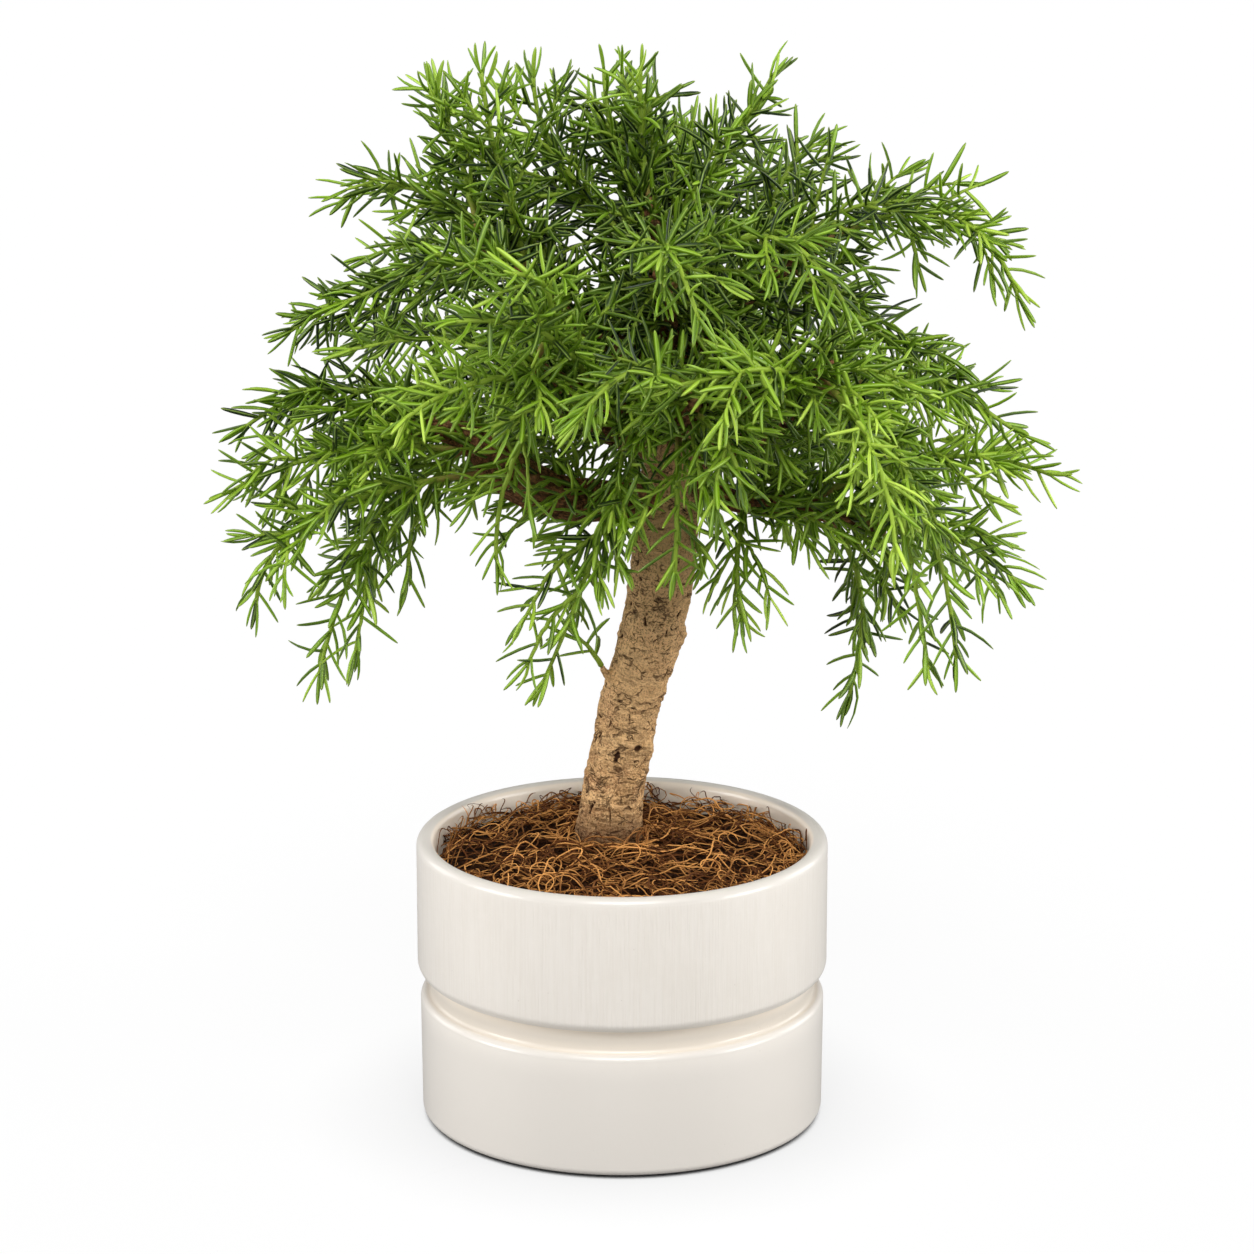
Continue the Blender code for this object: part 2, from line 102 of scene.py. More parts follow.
# Wood: stations as x, y, z and radius
TRUNK = [
    (-8, 12, 64, 5), (-7, 12, 86, 11), (-6.4, 12, 106, 15.6), (-5.4, 12, 126, 15), (-3, 12, 147, 14.2),
    (4, 12, 184, 13.7), (12, 10, 212, 14.2), (18, 8, 247, 14.4), (20, 8, 277, 13.2), (21, 8, 302, 11.2),
    (20, 8, 327, 9), (18, 8, 352, 7), (15, 8, 378, 5), (12, 8, 402, 3),
]
LEADER = TRUNK[8:]
LIMBS = {
    "left": [(20, 8, 277, 9), (0, -2, 277, 8.8), (-25, -8, 280, 9.8), (-46, -8, 289, 10.2),
             (-63, -6, 304, 7.5), (-84, -10, 311, 4.2), (-106, -16, 307, 2.6)],
    "right": [(20, 8, 284, 6.5), (50, 2, 276, 5.4), (82, -2, 273, 4.4), (112, -4, 264, 3.4)],
    "front": [(20, 8, 304, 6), (24, -20, 315, 5.2), (28, -44, 324, 4.2), (30, -62, 334, 3.2)],
    "front_right": [(21, 8, 314, 5.6), (45, -16, 322, 4.8), (70, -38, 334, 4), (88, -52, 347, 3)],
    "front_left": [(20, 8, 308, 5.8), (4, -18, 320, 5), (-18, -42, 334, 4), (-36, -58, 348, 3)],
    "back_left": [(20, 9, 294, 6), (-6, 34, 299, 5.2), (-34, 57, 308, 4.2), (-55, 72, 322, 3.2)],
    "back": [(21, 9, 302, 6), (25, 40, 309, 5.2), (22, 74, 317, 4.2), (15, 98, 330, 3.2)],
    "back_right": [(21, 9, 288, 6), (48, 38, 292, 5.2), (78, 62, 298, 4.2), (100, 76, 309, 3.2)],
    "up_left": [(20, 8, 324, 5.8), (-6, 4, 346, 5), (-36, 2, 368, 4), (-60, 2, 390, 3)],
    "up_right": [(20, 8, 330, 5.4), (40, 6, 352, 4.6), (62, 4, 372, 3.8), (82, 2, 386, 3)],
    "up_back": [(19, 8, 340, 5), (21, 30, 359, 4.2), (19, 56, 380, 3)],
    "up_front": [(19, 8, 342, 4.6), (20, -12, 361, 3.8), (15, -34, 382, 2.8)],
}
ROOTS = [
    [(-6, 12, 100, 7), (20, 6, 88, 4.5), (44, -2, 68, 2.6), (54, -8, 46, 1.2)],
    [(-6, 12, 98, 7), (-28, 2, 86, 4.6), (-46, -12, 64, 2.6), (-50, -24, 38, 1.2)],
    [(-6, 12, 96, 7), (0, 36, 84, 4.4), (10, 54, 62, 2.4), (12, 60, 36, 1.2)],
    [(-6, 12, 94, 7), (-4, -14, 78, 4.4), (4, -36, 56, 2.4), (16, -46, 32, 1.2)],
    [(-6, 12, 90, 6), (-30, 30, 74, 4), (-42, 42, 50, 2.2), (-40, 48, 28, 1.2)],
]
STUBS = [
    [(4, 9, 190, 7), (-5.4, 5, 196, 2.6), (-10, 3, 204, 1.3)],
    [(20, 9, 209, 5), (26.2, 6.5, 214.5, 2.3), (26.6, 6.5, 220, 1.4)],
    [(8, 8, 163, 8), (12.4, 4, 166, 2.7)],
]
# Scars on the trunk's front: height, place across from -1 at the left edge to 1 at the right, length up the
# trunk, width, lean, and depth
SCARS = [
    (198, 0.75, 5.5, 1.6, 0.05, 1.0), (183.5, 0.93, 5.5, 1.6, 0.1, 1.0), (165, 0.43, 2.6, 3.2, 0.2, 1.0),
    (162, -0.22, 6.5, 2.0, 0.1, 0.75), (223.6, -0.39, 5.5, 0.9, -0.35, 1.0), (226, 0.67, 2.2, 3.0, -0.5, 1.0),
    (242, -0.77, 1.4, 2.2, 0, 0.9), (230, -0.9, 1.8, 2.0, 0, 1.0), (218, 0.35, 3.6, 0.9, 0, 0.8),
    (215, -0.97, 1.4, 3.0, 0, 0.9), (138, -0.71, 8.5, 1.1, 0.45, 0.9), (136, -0.17, 8.5, 0.9, -0.1, 0.7),
    (158, 0.74, 4.5, 0.9, 0, 0.8), (222, 0.1, 0.9, 5.5, -0.2, 0.6), (207, -0.1, 0.8, 8.0, 0.3, 0.5),
    (187, -0.45, 0.9, 6.0, -0.35, 0.6), (176, -0.62, 5.5, 0.9, 0.35, 0.6), (150, 0.2, 0.8, 8.0, 0.1, 0.5),
    (143, 0.3, 0.8, 9.0, -0.05, 0.5), (146, -0.6, 0.9, 6.0, 0.2, 0.5), (170, -0.85, 4.5, 1.0, 0, 0.7),
]
SMALL_SCARS = 44
SCAR_SEED = 31
SCAR_SPAN = 20  # how far round the trunk from its middle a scar can reach
WOOD_GRAIN = 0.96  # the size of the wood's finest faces
LIMB_COURSE = 400  # sets the bark's pattern on each limb apart from the last one's

# Leafy shoots, under the limb each grows from: where it starts, passes half way and ends
SHOOTS = {
    "leader": [
        ((15, 8, 378), (-28, 16, 424), (-36, 20, 466)),
        ((14, 8, 390), (-4, 30, 432), (-7, 40, 466)),
        ((12, 8, 402), (8, 14, 438), (9, 12, 474)),
        ((14, 8, 385), (28, 28, 418), (28, 42, 438)),
        ((14, 8, 382), (44, 0, 430), (69, -6, 464)),
        ((16, 8, 372), (6, 48, 426), (0, 92, 444)),
    ],
    "up_left": [
        ((-60, 2, 390), (-72, 6, 434), (-86, -5, 460)),
        ((-37, 2, 369), (-52, -8, 424), (-60, -8, 474)),
        ((-49, 2, 380), (-110, 0, 366), (-148, -2, 345)),
        ((-45, 2, 376), (-90, 17, 409), (-131, 20, 393)),
        ((-16, 3, 353), (-58, -40, 385), (-98, -66, 388)),
        ((-20, 3, 356), (-64, 44, 380), (-124, 68, 364)),
    ],
    "up_right": [
        ((82, 2, 386), (140, 2, 400), (172, -10, 351)),
        ((71, 3, 378), (132, -8, 334), (178, -20, 304)),
        ((55, 5, 366), (70, 32, 412), (92, 44, 424)),
        ((61, 4, 372), (96, -14, 406), (130, -24, 400)),
        ((44, 6, 356), (80, 46, 358), (112, 74, 345)),
    ],
    "up_front": [
        ((15, -34, 382), (20, -84, 400), (36, -116, 364)),
        ((18, -22, 370), (62, -62, 402), (98, -92, 364)),
    ],
    "up_back": [
        ((19, 56, 380), (14, 98, 410), (4, 144, 412)),
        ((20, 42, 369), (58, 78, 400), (98, 116, 396)),
        ((21, 36, 364), (-28, 76, 396), (-76, 112, 390)),
    ],
    "left": [
        ((-66, -4, 304), (-120, -4, 326), (-171, -14, 302)),
        ((-60, -6, 299), (-122, -34, 305), (-172, -46, 286)),
        ((-51, -7, 291), (-130, -50, 280), (-153, -56, 237)),
        ((-64, -6, 302), (-108, -14, 262), (-133, -20, 189)),
        ((-38, -8, 281), (-80, 24, 300), (-104, 30, 284)),
        ((-25, -46, 336), (-48, -50, 298), (-52, -48, 248)),
        ((4, -20, 318), (-13, -32, 258), (-39, -30, 192)),
    ],
    "right": [
        ((77, -2, 274), (136, -18, 300), (193, -30, 289)),
        ((99, -3, 268), (144, -26, 265), (174, -34, 240)),
        ((88, -2, 271), (104, 12, 227), (95, 18, 170)),
        ((54, 1, 275), (49, -18, 250), (55, -20, 214)),
    ],
    "front": [
        ((30, -62, 334), (6, -104, 356), (-24, -130, 332)),
        ((28, -49, 327), (44, -80, 318), (50, -92, 292)),
        ((24, -20, 315), (23, -46, 280), (22, -46, 246)),
    ],
    "front_right": [
        ((81, -47, 342), (105, -84, 312), (112, -98, 264)),
        ((78, -44, 339), (122, -64, 296), (141, -70, 208)),
        ((65, -34, 332), (58, -84, 352), (2, -110, 345)),
    ],
    "front_left": [
        ((-12, -36, 330), (-34, -86, 368), (-78, -114, 376)),
        ((-24, -47, 338), (-62, -86, 346), (-97, -108, 328)),
        ((-36, -58, 348), (-30, -92, 386), (-54, -122, 398)),
        ((-2, -25, 324), (-30, -70, 334), (-62, -94, 324)),
    ],
    "back_left": [
        ((-55, 72, 322), (-94, 102, 330), (-132, 126, 310)),
        ((-34, 57, 308), (-92, 62, 302), (-140, 74, 276)),
        ((-21, 47, 303), (-56, 88, 286), (-78, 114, 248)),
    ],
    "back": [
        ((15, 98, 330), (10, 134, 338), (0, 172, 320)),
        ((22, 75, 318), (50, 116, 332), (84, 156, 318)),
        ((23, 66, 315), (-20, 106, 320), (-54, 148, 300)),
        ((25, 51, 311), (18, 84, 272), (8, 106, 228)),
    ],
    "back_right": [
        ((100, 76, 309), (134, 86, 312), (164, 92, 290)),
        ((77, 61, 298), (110, 100, 282), (128, 122, 240)),
        ((58, 47, 294), (76, 66, 270), (84, 76, 238)),
    ],
}
# The shoots of this year's growth, brighter than the rest
NEW_SHOOTS = ("front_left_2", "front_left_3", "front_right_1", "front_right_3", "up_right_1", "right_1")
# How far apart a shoot's side twigs are: on these open shoots, on shoots that end far enough in front, on
# those that end at the top of the crown, and on the others
OPEN_SHOOTS = ("left_6", "front_3", "right_3")
OPEN_TWIGS = 24
FRONT_END = -80
FRONT_TWIGS = 20
TOP_END = 430
TOP_TWIGS = 9
OTHER_TWIGS = 12
# Single twigs on the trunk, the limbs and the shoots: a path, the radii at its foot and tip, and the share of
# it next to its foot that is bare
SPRIGS = [
    ([(-9, 3.4, 202), (-13, 1.5, 209), (-20, -1, 217)], 1.3, 0.7, 0.3),
    ([(6, -15, 318), (2, -26, 290), (-3, -28, 262)], 1.3, 0.8, 0.15),
    ([(107.4, -57.7, 318.6), (120, -64, 268), (128, -68, 222)], 1.4, 0.8, 0.15),
    ([(117, 3.4, 401.7), (122, -2, 392), (125, -6, 380)], 1.2, 0.8, 0.1),
    ([(-36, -58, 348), (-78, -42, 356), (-114, -36, 350)], 1.4, 0.8, 0.1),
    ([(88, -52, 347), (110, -38, 338), (134, -30, 322)], 1.3, 0.8, 0.1),
    ([(-15, 13, 406), (-32, 6, 408), (-48, 2, 406)], 1.2, 0.8, 0.1),
    ([(-25, 15, 420), (-40, 12, 436), (-48, 8, 448)], 1.2, 0.8, 0.1),
    ([(-70, -8, 306), (-88, -14, 272), (-92, -16, 246)], 1.3, 0.8, 0.15),
    ([(-108, -14, 262), (-110, -18, 240), (-114, -22, 216)], 1.2, 0.8, 0.1),
    ([(-120, -4, 326), (-134, -8, 327), (-146, -11, 326)], 1.2, 0.8, 0.1),
    ([(-120, -4, 326), (-136, -16, 316), (-150, -24, 306)], 1.2, 0.8, 0.1),
    ([(-82.4, 1, 373.9), (-100, -12, 372), (-118, -18, 366)], 1.2, 0.8, 0.1),
    ([(136, -18, 300), (146, -26, 291), (156, -30, 284)], 1.2, 0.8, 0.1),
    ([(112, -4, 264), (114, -8, 250), (112, -10, 238)], 1.2, 0.8, 0.1),
    ([(-8.9, -30.7, 270.5), (-28, -34, 256), (-42, -34, 232)], 1.2, 0.8, 0.1),
    ([(-17.5, -32.7, 245.3), (-30, -36, 234), (-40, -36, 214)], 1.2, 0.8, 0.1),
]
SPRIG_TONE = 0.36
SPRIG_SEED = 41
# Inner leaves along a limb: how freely they grow from its lower side, and how young they are, and on the
# lower limbs also painted light against the crown's shade
INNER_LEAVES = {
    "left": (0, 0.26), "right": (0, 0.26), "front_left": (0.1, 0.22), "front": (0.3, 0.2),
    "front_right": (0.3, 0.2),
}
OTHER_INNER_LEAVES = (0.6, 0.09)
INNER_SPACING = 4.2
BARE_LIMB = 0.2  # the share of a limb next to its foot with no inner leaves
# Heights, and how much brighter or darker the needles are painted at each, painted light and shade against
# the crown's own; those at the far left are a little darker instead, painted shade
HEIGHT_LIGHT_AND_SHADE = (
    (190, 225, 262, 325, 352, 380, 425, 450),
    (-0.10, -0.03, 0.11, 0.11, -0.03, -0.09, -0.06, 0.06),
)
FAR_LEFT = (-160, -100)  # from where on it is the far left in full, and from where not at all
FAR_LEFT_SHADE = -0.06
SEEN_LOWER = 0.27  # how much lower a point is seen for each millimetre nearer to the front
# Where fewer needles grow: spans of x and of the height as seen from the front, how far back this goes, and
# the share of the needles left out
THIN_PLACES = [
    (-84, -26, 266, 308, 0, 0.6),  # the foot of the left limb shows here
    (-52, 64, 440, 480, 200, 0.22),
    (64, 94, 412, 442, 200, 0.3),
    (148, 180, 412, 442, 200, 0.5),
    (-137, -107, 383, 442, 200, 0.33),
    (-200, -164, 294, 324, 200, 0.35),
    (-79, -50, 234, 266, 200, 0.4),
    (-50, -22, 205, 234, 200, 0.25),
    (35, 64, 205, 264, 200, 0.3),
]
# A needle's section from foot to tip: share of its length, of its width, of its thickness
NEEDLE_SECTIONS = [
    (0, 0.8, 1.0), (0.14, 0.84, 1.1), (0.42, 1.0, 1.15), (0.74, 0.94, 1.05), (0.93, 0.64, 0.75),
    (1.0, 0.2, 0.3),
]
NEEDLE_THICKNESS = 1.3
NEEDLE_TIP = (0.34, 0.42, 0.07)  # the colour of a needle's tip
NEEDLE_BLOOM_AND_SHEEN = (0.24, 0.36, 0.20)  # the colour of the bloom on old needles, and of the painted sheen that stands in for their reflection

# Lights: the setting for their strength, its share, how wide each looks in degrees, and where it shines from
LIGHTS = {
    "overhead": ("key", 1, 32, (0, -1.2, 1.65)),
    "left": ("fill", 1, 30, (-1.95, -0.6, 0.5)),
    "right": ("fill", 1, 30, (1.95, -0.6, 0.5)),
    "behind_left": ("rim", 1, 30, (-1.9, 1.1, 0.7)),
    "behind_right": ("rim", 1.4, 30, (1.9, 1.1, 0.7)),
}
FLOOR_SIZE = 30  # metres


# Settings


def color_property(name, description, default):
    return FloatVectorProperty(
        name=name, description=description, default=default, size=3, min=0, max=1, subtype="COLOR"
    )


def length_property(name, description, default):
    return FloatProperty(
        name=name, description=description, default=default * MM, min=0, unit="LENGTH", precision=5
    )


def strength_property(name, description, default):
    return FloatProperty(name=name, description=description, default=default, min=0)


class BonsaiPot(PropertyGroup):
    glaze: color_property("Glaze", "Colour of the glaze on both bands", (0.79, 0.743, 0.683))
    streak: color_property("Streak", "Colour of the fine upright streaks", (0.72, 0.665, 0.59))
    # Painted shade: the groove's colour stands in for the shade in the recess; darker copies of it colour the
    # real specks and pits
    groove: color_property("Groove shade and specks", "Colour of the painted shade in the groove, also darkened for the specks and pits", (0.80, 0.715, 0.60))
    # Painted light: the inside is lighter and warmer than the glaze, standing in for the light that falls
    # into it
    lit_lining: color_property("Lit lining", "Colour of the painted light inside, lighter and warmer than the glaze", (0.86, 0.76, 0.64))
    clay: color_property("Bare clay", "Colour of the unglazed foot", (0.50, 0.40, 0.30))
    relief: length_property("Relief", "Height of the streaks and specks in the glaze", 0.12)


class BonsaiFill(PropertyGroup):
    soil: color_property("Soil", "Colour of the potting soil", (0.035, 0.022, 0.014))
    mesh: color_property("Drain mesh", "Colour of the mesh over the drain holes", (0.018, 0.019, 0.018))
    coir_shade: color_property("Coir shade", "Darkest colour of the coir", (0.014, 0.005, 0.002))
    coir_body: color_property("Coir body", "Colour of most of the coir fibres", (0.13, 0.042, 0.009))
    coir_light: color_property("Coir light", "Colour of the palest fibres", (0.80, 0.375, 0.108))
    fibre: length_property("Fibre radius", "Radius of a thick coir fibre", 0.33)
    fibres: IntProperty(name="Fibres", description="How many fibres lie in the tangle", default=1150, min=100)


class BonsaiWood(PropertyGroup):
    bark: color_property("Bark", "Colour of the trunk's bark", (0.60, 0.340, 0.142))
    pale: color_property("Pale bark", "Colour of the bark's dry raised parts", (0.84, 0.54, 0.265))
    crack: color_property("Crack", "Colour deep in the cracks", (0.055, 0.022, 0.009))
    limb: color_property("Limb bark", "Colour of the redder bark on the limbs", (0.26, 0.11, 0.05))
    depth: length_property("Bark depth", "Depth of the deepest scars and cracks", 1.3)


class BonsaiFoliage(PropertyGroup):
    old: color_property("Old leaf", "Colour of the old needles", (0.008, 0.027, 0.0004))
    leaf: color_property("Leaf", "Colour of the full-grown needles", (0.206, 0.384, 0.008))
    young: color_property("Young leaf", "Colour of the newest needles", (0.57, 0.79, 0.09))
    # The midrib is partly a real pale line and partly a painted highlight
    rib_and_sheen: color_property("Midrib and sheen", "Colour of the pale line along a needle and of the painted sheen on it", (0.56, 0.79, 0.16))
    stem: color_property("Green stem", "Colour of a young stem", (0.34, 0.50, 0.05))
    length: length_property("Needle length", "Length of a full-grown needle", 18.2)
    width: length_property("Needle width", "Width of a full-grown needle", 2.35)
    spacing: length_property("Needle spacing", "Stem length from one needle to the next", 2.8)


class BonsaiStage(PropertyGroup):
    floor: color_property("Floor", "Colour of the floor", (0.32, 0.32, 0.32))
    distance: length_property("Distance", "Distance from the camera to what it looks at", 2000)
    target: length_property("Target height", "Height of what the camera looks at", 220.25)
    side: length_property("Target side", "How far to the right the camera looks", 2.16)
    elevation: FloatProperty(
        name="Elevation", description="Angle of the camera above the horizon",
        default=math.radians(15.24), subtype="ANGLE",
    )
    lens: FloatProperty(
        name="Lens", description="Focal length in millimetres", default=132.83, min=1, unit="CAMERA"
    )
    daylight: strength_property("Daylight", "Strength of the even light", 0.3)
    key: strength_property("Overhead light", "Strength of the overhead light", 0.69)
    fill: strength_property("Side lights", "Strength of each side light", 0.55)
    rim: strength_property("Rear lights", "Strength of the lights behind", 0.17)


class BonsaiSettings(PropertyGroup):
    pot: PointerProperty(type=BonsaiPot)
    fill: PointerProperty(type=BonsaiFill)
    wood: PointerProperty(type=BonsaiWood)
    foliage: PointerProperty(type=BonsaiFoliage)
    stage: PointerProperty(type=BonsaiStage)


# Finishes


class Value:
    """A shader socket in an expression: each operator adds the Math node that works it out."""

    def __init__(self, finish, output):
        self.finish = finish
        self.output = output

    def math(self, operation, *others):
        return self.finish.add("ShaderNodeMath", {"operation": operation}, dict(enumerate((self, *others))))

    def __add__(self, other):
        return self.math("ADD", other)

    def __sub__(self, other):
        return self.math("SUBTRACT", other)

    def __rsub__(self, other):
        return self.finish.add("ShaderNodeMath", {"operation": "SUBTRACT"}, {0: other, 1: self})

    def __mul__(self, other):
        return self.math("MULTIPLY", other)

    def __pow__(self, other):
        return self.math("POWER", other)

    def __abs__(self):
        return self.math("ABSOLUTE")

    __radd__ = __add__
    __rmul__ = __mul__

    def rise(self, low, high):
        """0 below low, 1 above high and smooth between; with low above high it falls instead."""
        settings = {"interpolation_type": "SMOOTHSTEP"}
        if low < high:
            return self.finish.add("ShaderNodeMapRange", settings, {0: self, 1: low, 2: high, 3: 0, 4: 1})
        return self.finish.add("ShaderNodeMapRange", settings, {0: self, 1: high, 2: low, 3: 1, 4: 0})


class Finish:
    """A procedural material: a Principled shader and the nodes that feed it."""

    def __init__(self, name, **constants):
        self.material = bpy.data.materials.new(name)
        self.material.use_nodes = True
        self.tree = self.material.node_tree
        self.shader = self.tree.nodes["Principled BSDF"]
        for socket, value in constants.items():
            self.shader.inputs[socket.replace("_", " ")].default_value = value

    def add(self, kind, settings, sockets, output=0):
        """Adds a node, sets it up, fills its sockets with values or links and returns one of its outputs."""
        node = self.tree.nodes.new(kind)
        for setting, value in settings.items():
            if setting == "stops":
                ramp = node.color_ramp
                while len(ramp.elements) < len(value):
                    ramp.elements.new(0.5)
                for element, (place, color) in zip(ramp.elements, value):
                    element.position = place
                    element.color = (*color, 1)
            else:
                setattr(node, setting, value)
        for key, value in sockets.items():
            self.fill(node.inputs[key], value)
        return Value(self, node.outputs[output])

    def fill(self, socket, value):
        if isinstance(value, Value):
            self.tree.links.new(value.output, socket)
        elif socket.type == "RGBA":
            socket.default_value = (*value, 1)
        else:
            socket.default_value = value

    def place(self):
        """The place on the object, in millimetres."""
        spot = self.add("ShaderNodeTexCoord", {}, {}, "Object")
        return self.add("ShaderNodeVectorMath", {"operation": "SCALE"}, {0: spot, "Scale": 1000})

    def parts(self, vector):
        split = self.add("ShaderNodeSeparateXYZ", {}, {0: vector})
        return [Value(self, output) for output in split.output.node.outputs]

    def stretch(self, vector, scale):
        return self.add("ShaderNodeVectorMath", {"operation": "MULTIPLY"}, {0: vector, 1: scale})

    def attribute(self, name, output="Fac"):
        return self.add("ShaderNodeAttribute", {"attribute_name": name}, {}, output)

    def noise(self, vector, size, detail=2, roughness=0.5, distortion=0):
        """Noise of 0 to 1 whose features are about size across."""
        sockets = {"Vector": vector, "Scale": 1 / size, "Detail": detail}
        sockets |= {"Roughness": roughness, "Distortion": distortion}
        return self.add("ShaderNodeTexNoise", {}, sockets)

    def cells(self, vector, size, feature="F1", output="Distance"):
        sockets = {"Vector": vector, "Scale": 1 / size}
        return self.add("ShaderNodeTexVoronoi", {"feature": feature}, sockets, output)

    def mix(self, share, start, end):
        """A colour that goes from start to end as share goes from 0 to 1."""
        settings = {"data_type": "RGBA", "clamp_factor": True}
        return self.add("ShaderNodeMix", settings, {0: share, 6: start, 7: end}, 2)

    def layers(self, color, *layers):
        """A colour with others over it, each as (share, colour): a share of 1 hides what is under it."""
        for share, over in layers:
            color = self.mix(share, color, over)
        return color

    def warp(self, vector, size, amount):
        """The vector pushed about by noise."""
        push = self.add("ShaderNodeTexNoise", {}, {"Vector": vector, "Scale": 1 / size}, "Color")
        push = self.add("ShaderNodeVectorMath", {"operation": "SUBTRACT"}, {0: push, 1: (0.5, 0.5, 0.5)})
        push = self.add("ShaderNodeVectorMath", {"operation": "SCALE"}, {0: push, "Scale": amount})
        return self.add("ShaderNodeVectorMath", {"operation": "ADD"}, {0: vector, 1: push})

    def bump(self, height, distance):
        return self.add("ShaderNodeBump", {}, {"Strength": 1, "Distance": distance, "Height": height})

    def wear(self, **sockets):
        """Feeds the shader's sockets and gives the material."""
        for name, value in sockets.items():
            self.fill(self.shader.inputs[name.replace("_", " ")], value)
        return self.material


def scaled(color, factor):
    return tuple(min(1, channel * factor) for channel in color)


def glaze_finish(pot):
    finish = Finish("white_glaze", IOR=1.5, Coat_Roughness=0.12)
    spot = finish.place()
    x, y, z = finish.parts(spot)
    radius = (x * x + y * y) ** 0.5
    upper = z.rise(66, 70) * z.rise(125, 120) * radius.rise(88, 89.5)
    groove = z.rise(54, 55.6) * z.rise(69, 66) * radius.rise(87.2, 85.4)
    inside = radius.rise(84.2, 83) * z.rise(30, 60)
    foot = z.rise(1.3, 0.9)
    streaks = finish.noise(finish.stretch(spot, (1, 1, 0.025)), 0.9, 3, 0.6)
    bands = finish.noise(finish.stretch(spot, (1, 1, 0.01)), 6, 2)
    clouds = finish.noise(spot, 34, 3)
    mottle = finish.noise(spot, 5, 4, 0.6)
    specks = finish.cells(spot, 2.4).rise(0.16, 0.05) * finish.noise(spot, 1.7, 1).rise(0.52, 0.62)
    pits = finish.cells(spot, 7.5).rise(0.05, 0.02)
    upright = streaks.rise(0.36, 0.7) * (0.75 + 0.25 * bands) * upper
    # The rim's top and the lower band's top edge, where painted shade tones down the highlights
    lower_edge = z.rise(52.4, 54.4) * radius.rise(85.5, 87) * z.rise(60, 57)
    edges = (z.rise(122.5, 124) + lower_edge).math("MINIMUM", 1)
    color = finish.layers(
        pot.glaze,
        (upright * 0.42, pot.streak),
        (clouds.rise(0.35, 0.75) * 0.22, pot.streak),
        (mottle.rise(0.45, 0.7) * 0.14, scaled(pot.glaze, 1.06)),
        (specks * (1 - upper) * 0.24, scaled(pot.groove, 0.72)),
        (pits * 0.35, scaled(pot.groove, 0.58)),
        # Painted shade: the lower band darker below its top edge, down to its foot
        (z.rise(58, 42) * (1 - groove) * 0.72, scaled(pot.glaze, 0.84)),
        # Painted shade: the groove darker than the bands, and darker still near its foot where light falls on
        # it; painted light makes its top, under the overhang, paler
        (groove * 0.45, pot.groove),
        (groove * z.rise(64.5, 58) * 0.5, scaled(pot.groove, 0.76)),
        (groove * z.rise(60, 64) * 0.6, scaled(pot.groove, 1.2)),
        # Painted shade: the rim's top and the lower band's top edge darker, to tone down their highlights
        (edges * 0.8, scaled(pot.glaze, 0.83)),
        # Painted light on the inner wall
        (inside * 0.9, pot.lit_lining),
        (foot, finish.mix(mottle, scaled(pot.clay, 0.85), pot.clay)),
    )
    rough = 0.3 + 0.1 * mottle + 0.08 * upright + 0.5 * foot
    relief = upright * 0.9 + specks * (1 - upper) * 0.35 + mottle * 0.5 - pits * 0.8
    normal = finish.bump(relief, pot.relief)
    coat = 0.3 * (1 - foot)
    return finish.wear(Base_Color=color, Roughness=rough, Normal=normal, Coat_Weight=coat)


def plastic_finish(fill):
    finish = Finish("mesh_plastic", IOR=1.45)
    spot = finish.place()
    grain = finish.noise(spot, 0.6, 3)
    dust = finish.noise(spot, 4, 3).rise(0.48, 0.7)
    color = finish.mix(grain, scaled(fill.mesh, 0.8), scaled(fill.mesh, 1.5))
    color = finish.mix(dust * 0.5, color, fill.soil)
    return finish.wear(Base_Color=color, Roughness=0.42 + 0.25 * dust, Normal=finish.bump(grain, 0.05 * MM))


def soil_finish(fill):
    finish = Finish("potting_soil", Roughness=0.95)
    spot = finish.place()
    crumbs = finish.cells(spot, 2.6)
    dust = finish.noise(spot, 1.1, 4, 0.7)
    grit = finish.cells(spot, 5.5, output="Color")
    pale = finish.parts(grit)[0].rise(0.9, 0.95) * crumbs.rise(0.5, 0.3)
    color = finish.mix(dust, scaled(fill.soil, 0.5), scaled(fill.soil, 1.8))
    color = finish.mix(pale, color, (0.30, 0.27, 0.23))
    return finish.wear(Base_Color=color, Normal=finish.bump(dust * 0.5 - crumbs, 1.2 * MM))


def coir_finish(fill, name, lowest, highest):
    """Coir between two shares of the range from its shade to its palest colour."""
    finish = Finish(name, Roughness=0.75, Specular_IOR_Level=0.15)
    spot = finish.place()
    tone = finish.attribute("tone")
    grain = finish.noise(finish.stretch(spot, (1, 1, 2)), 0.8, 3, 0.7)
    patch = finish.noise(spot, 13, 2)
    share = tone * 0.75 + grain * 0.2 + patch * 0.3 - 0.18
    share = lowest + (highest - lowest) * share
    stops = [(0, fill.coir_shade), (0.45, fill.coir_body), (1, fill.coir_light)]
    color = finish.add("ShaderNodeValToRGB", {"stops": stops}, {0: share})
    return finish.wear(Base_Color=color, Normal=finish.bump(grain, 0.25 * MM))


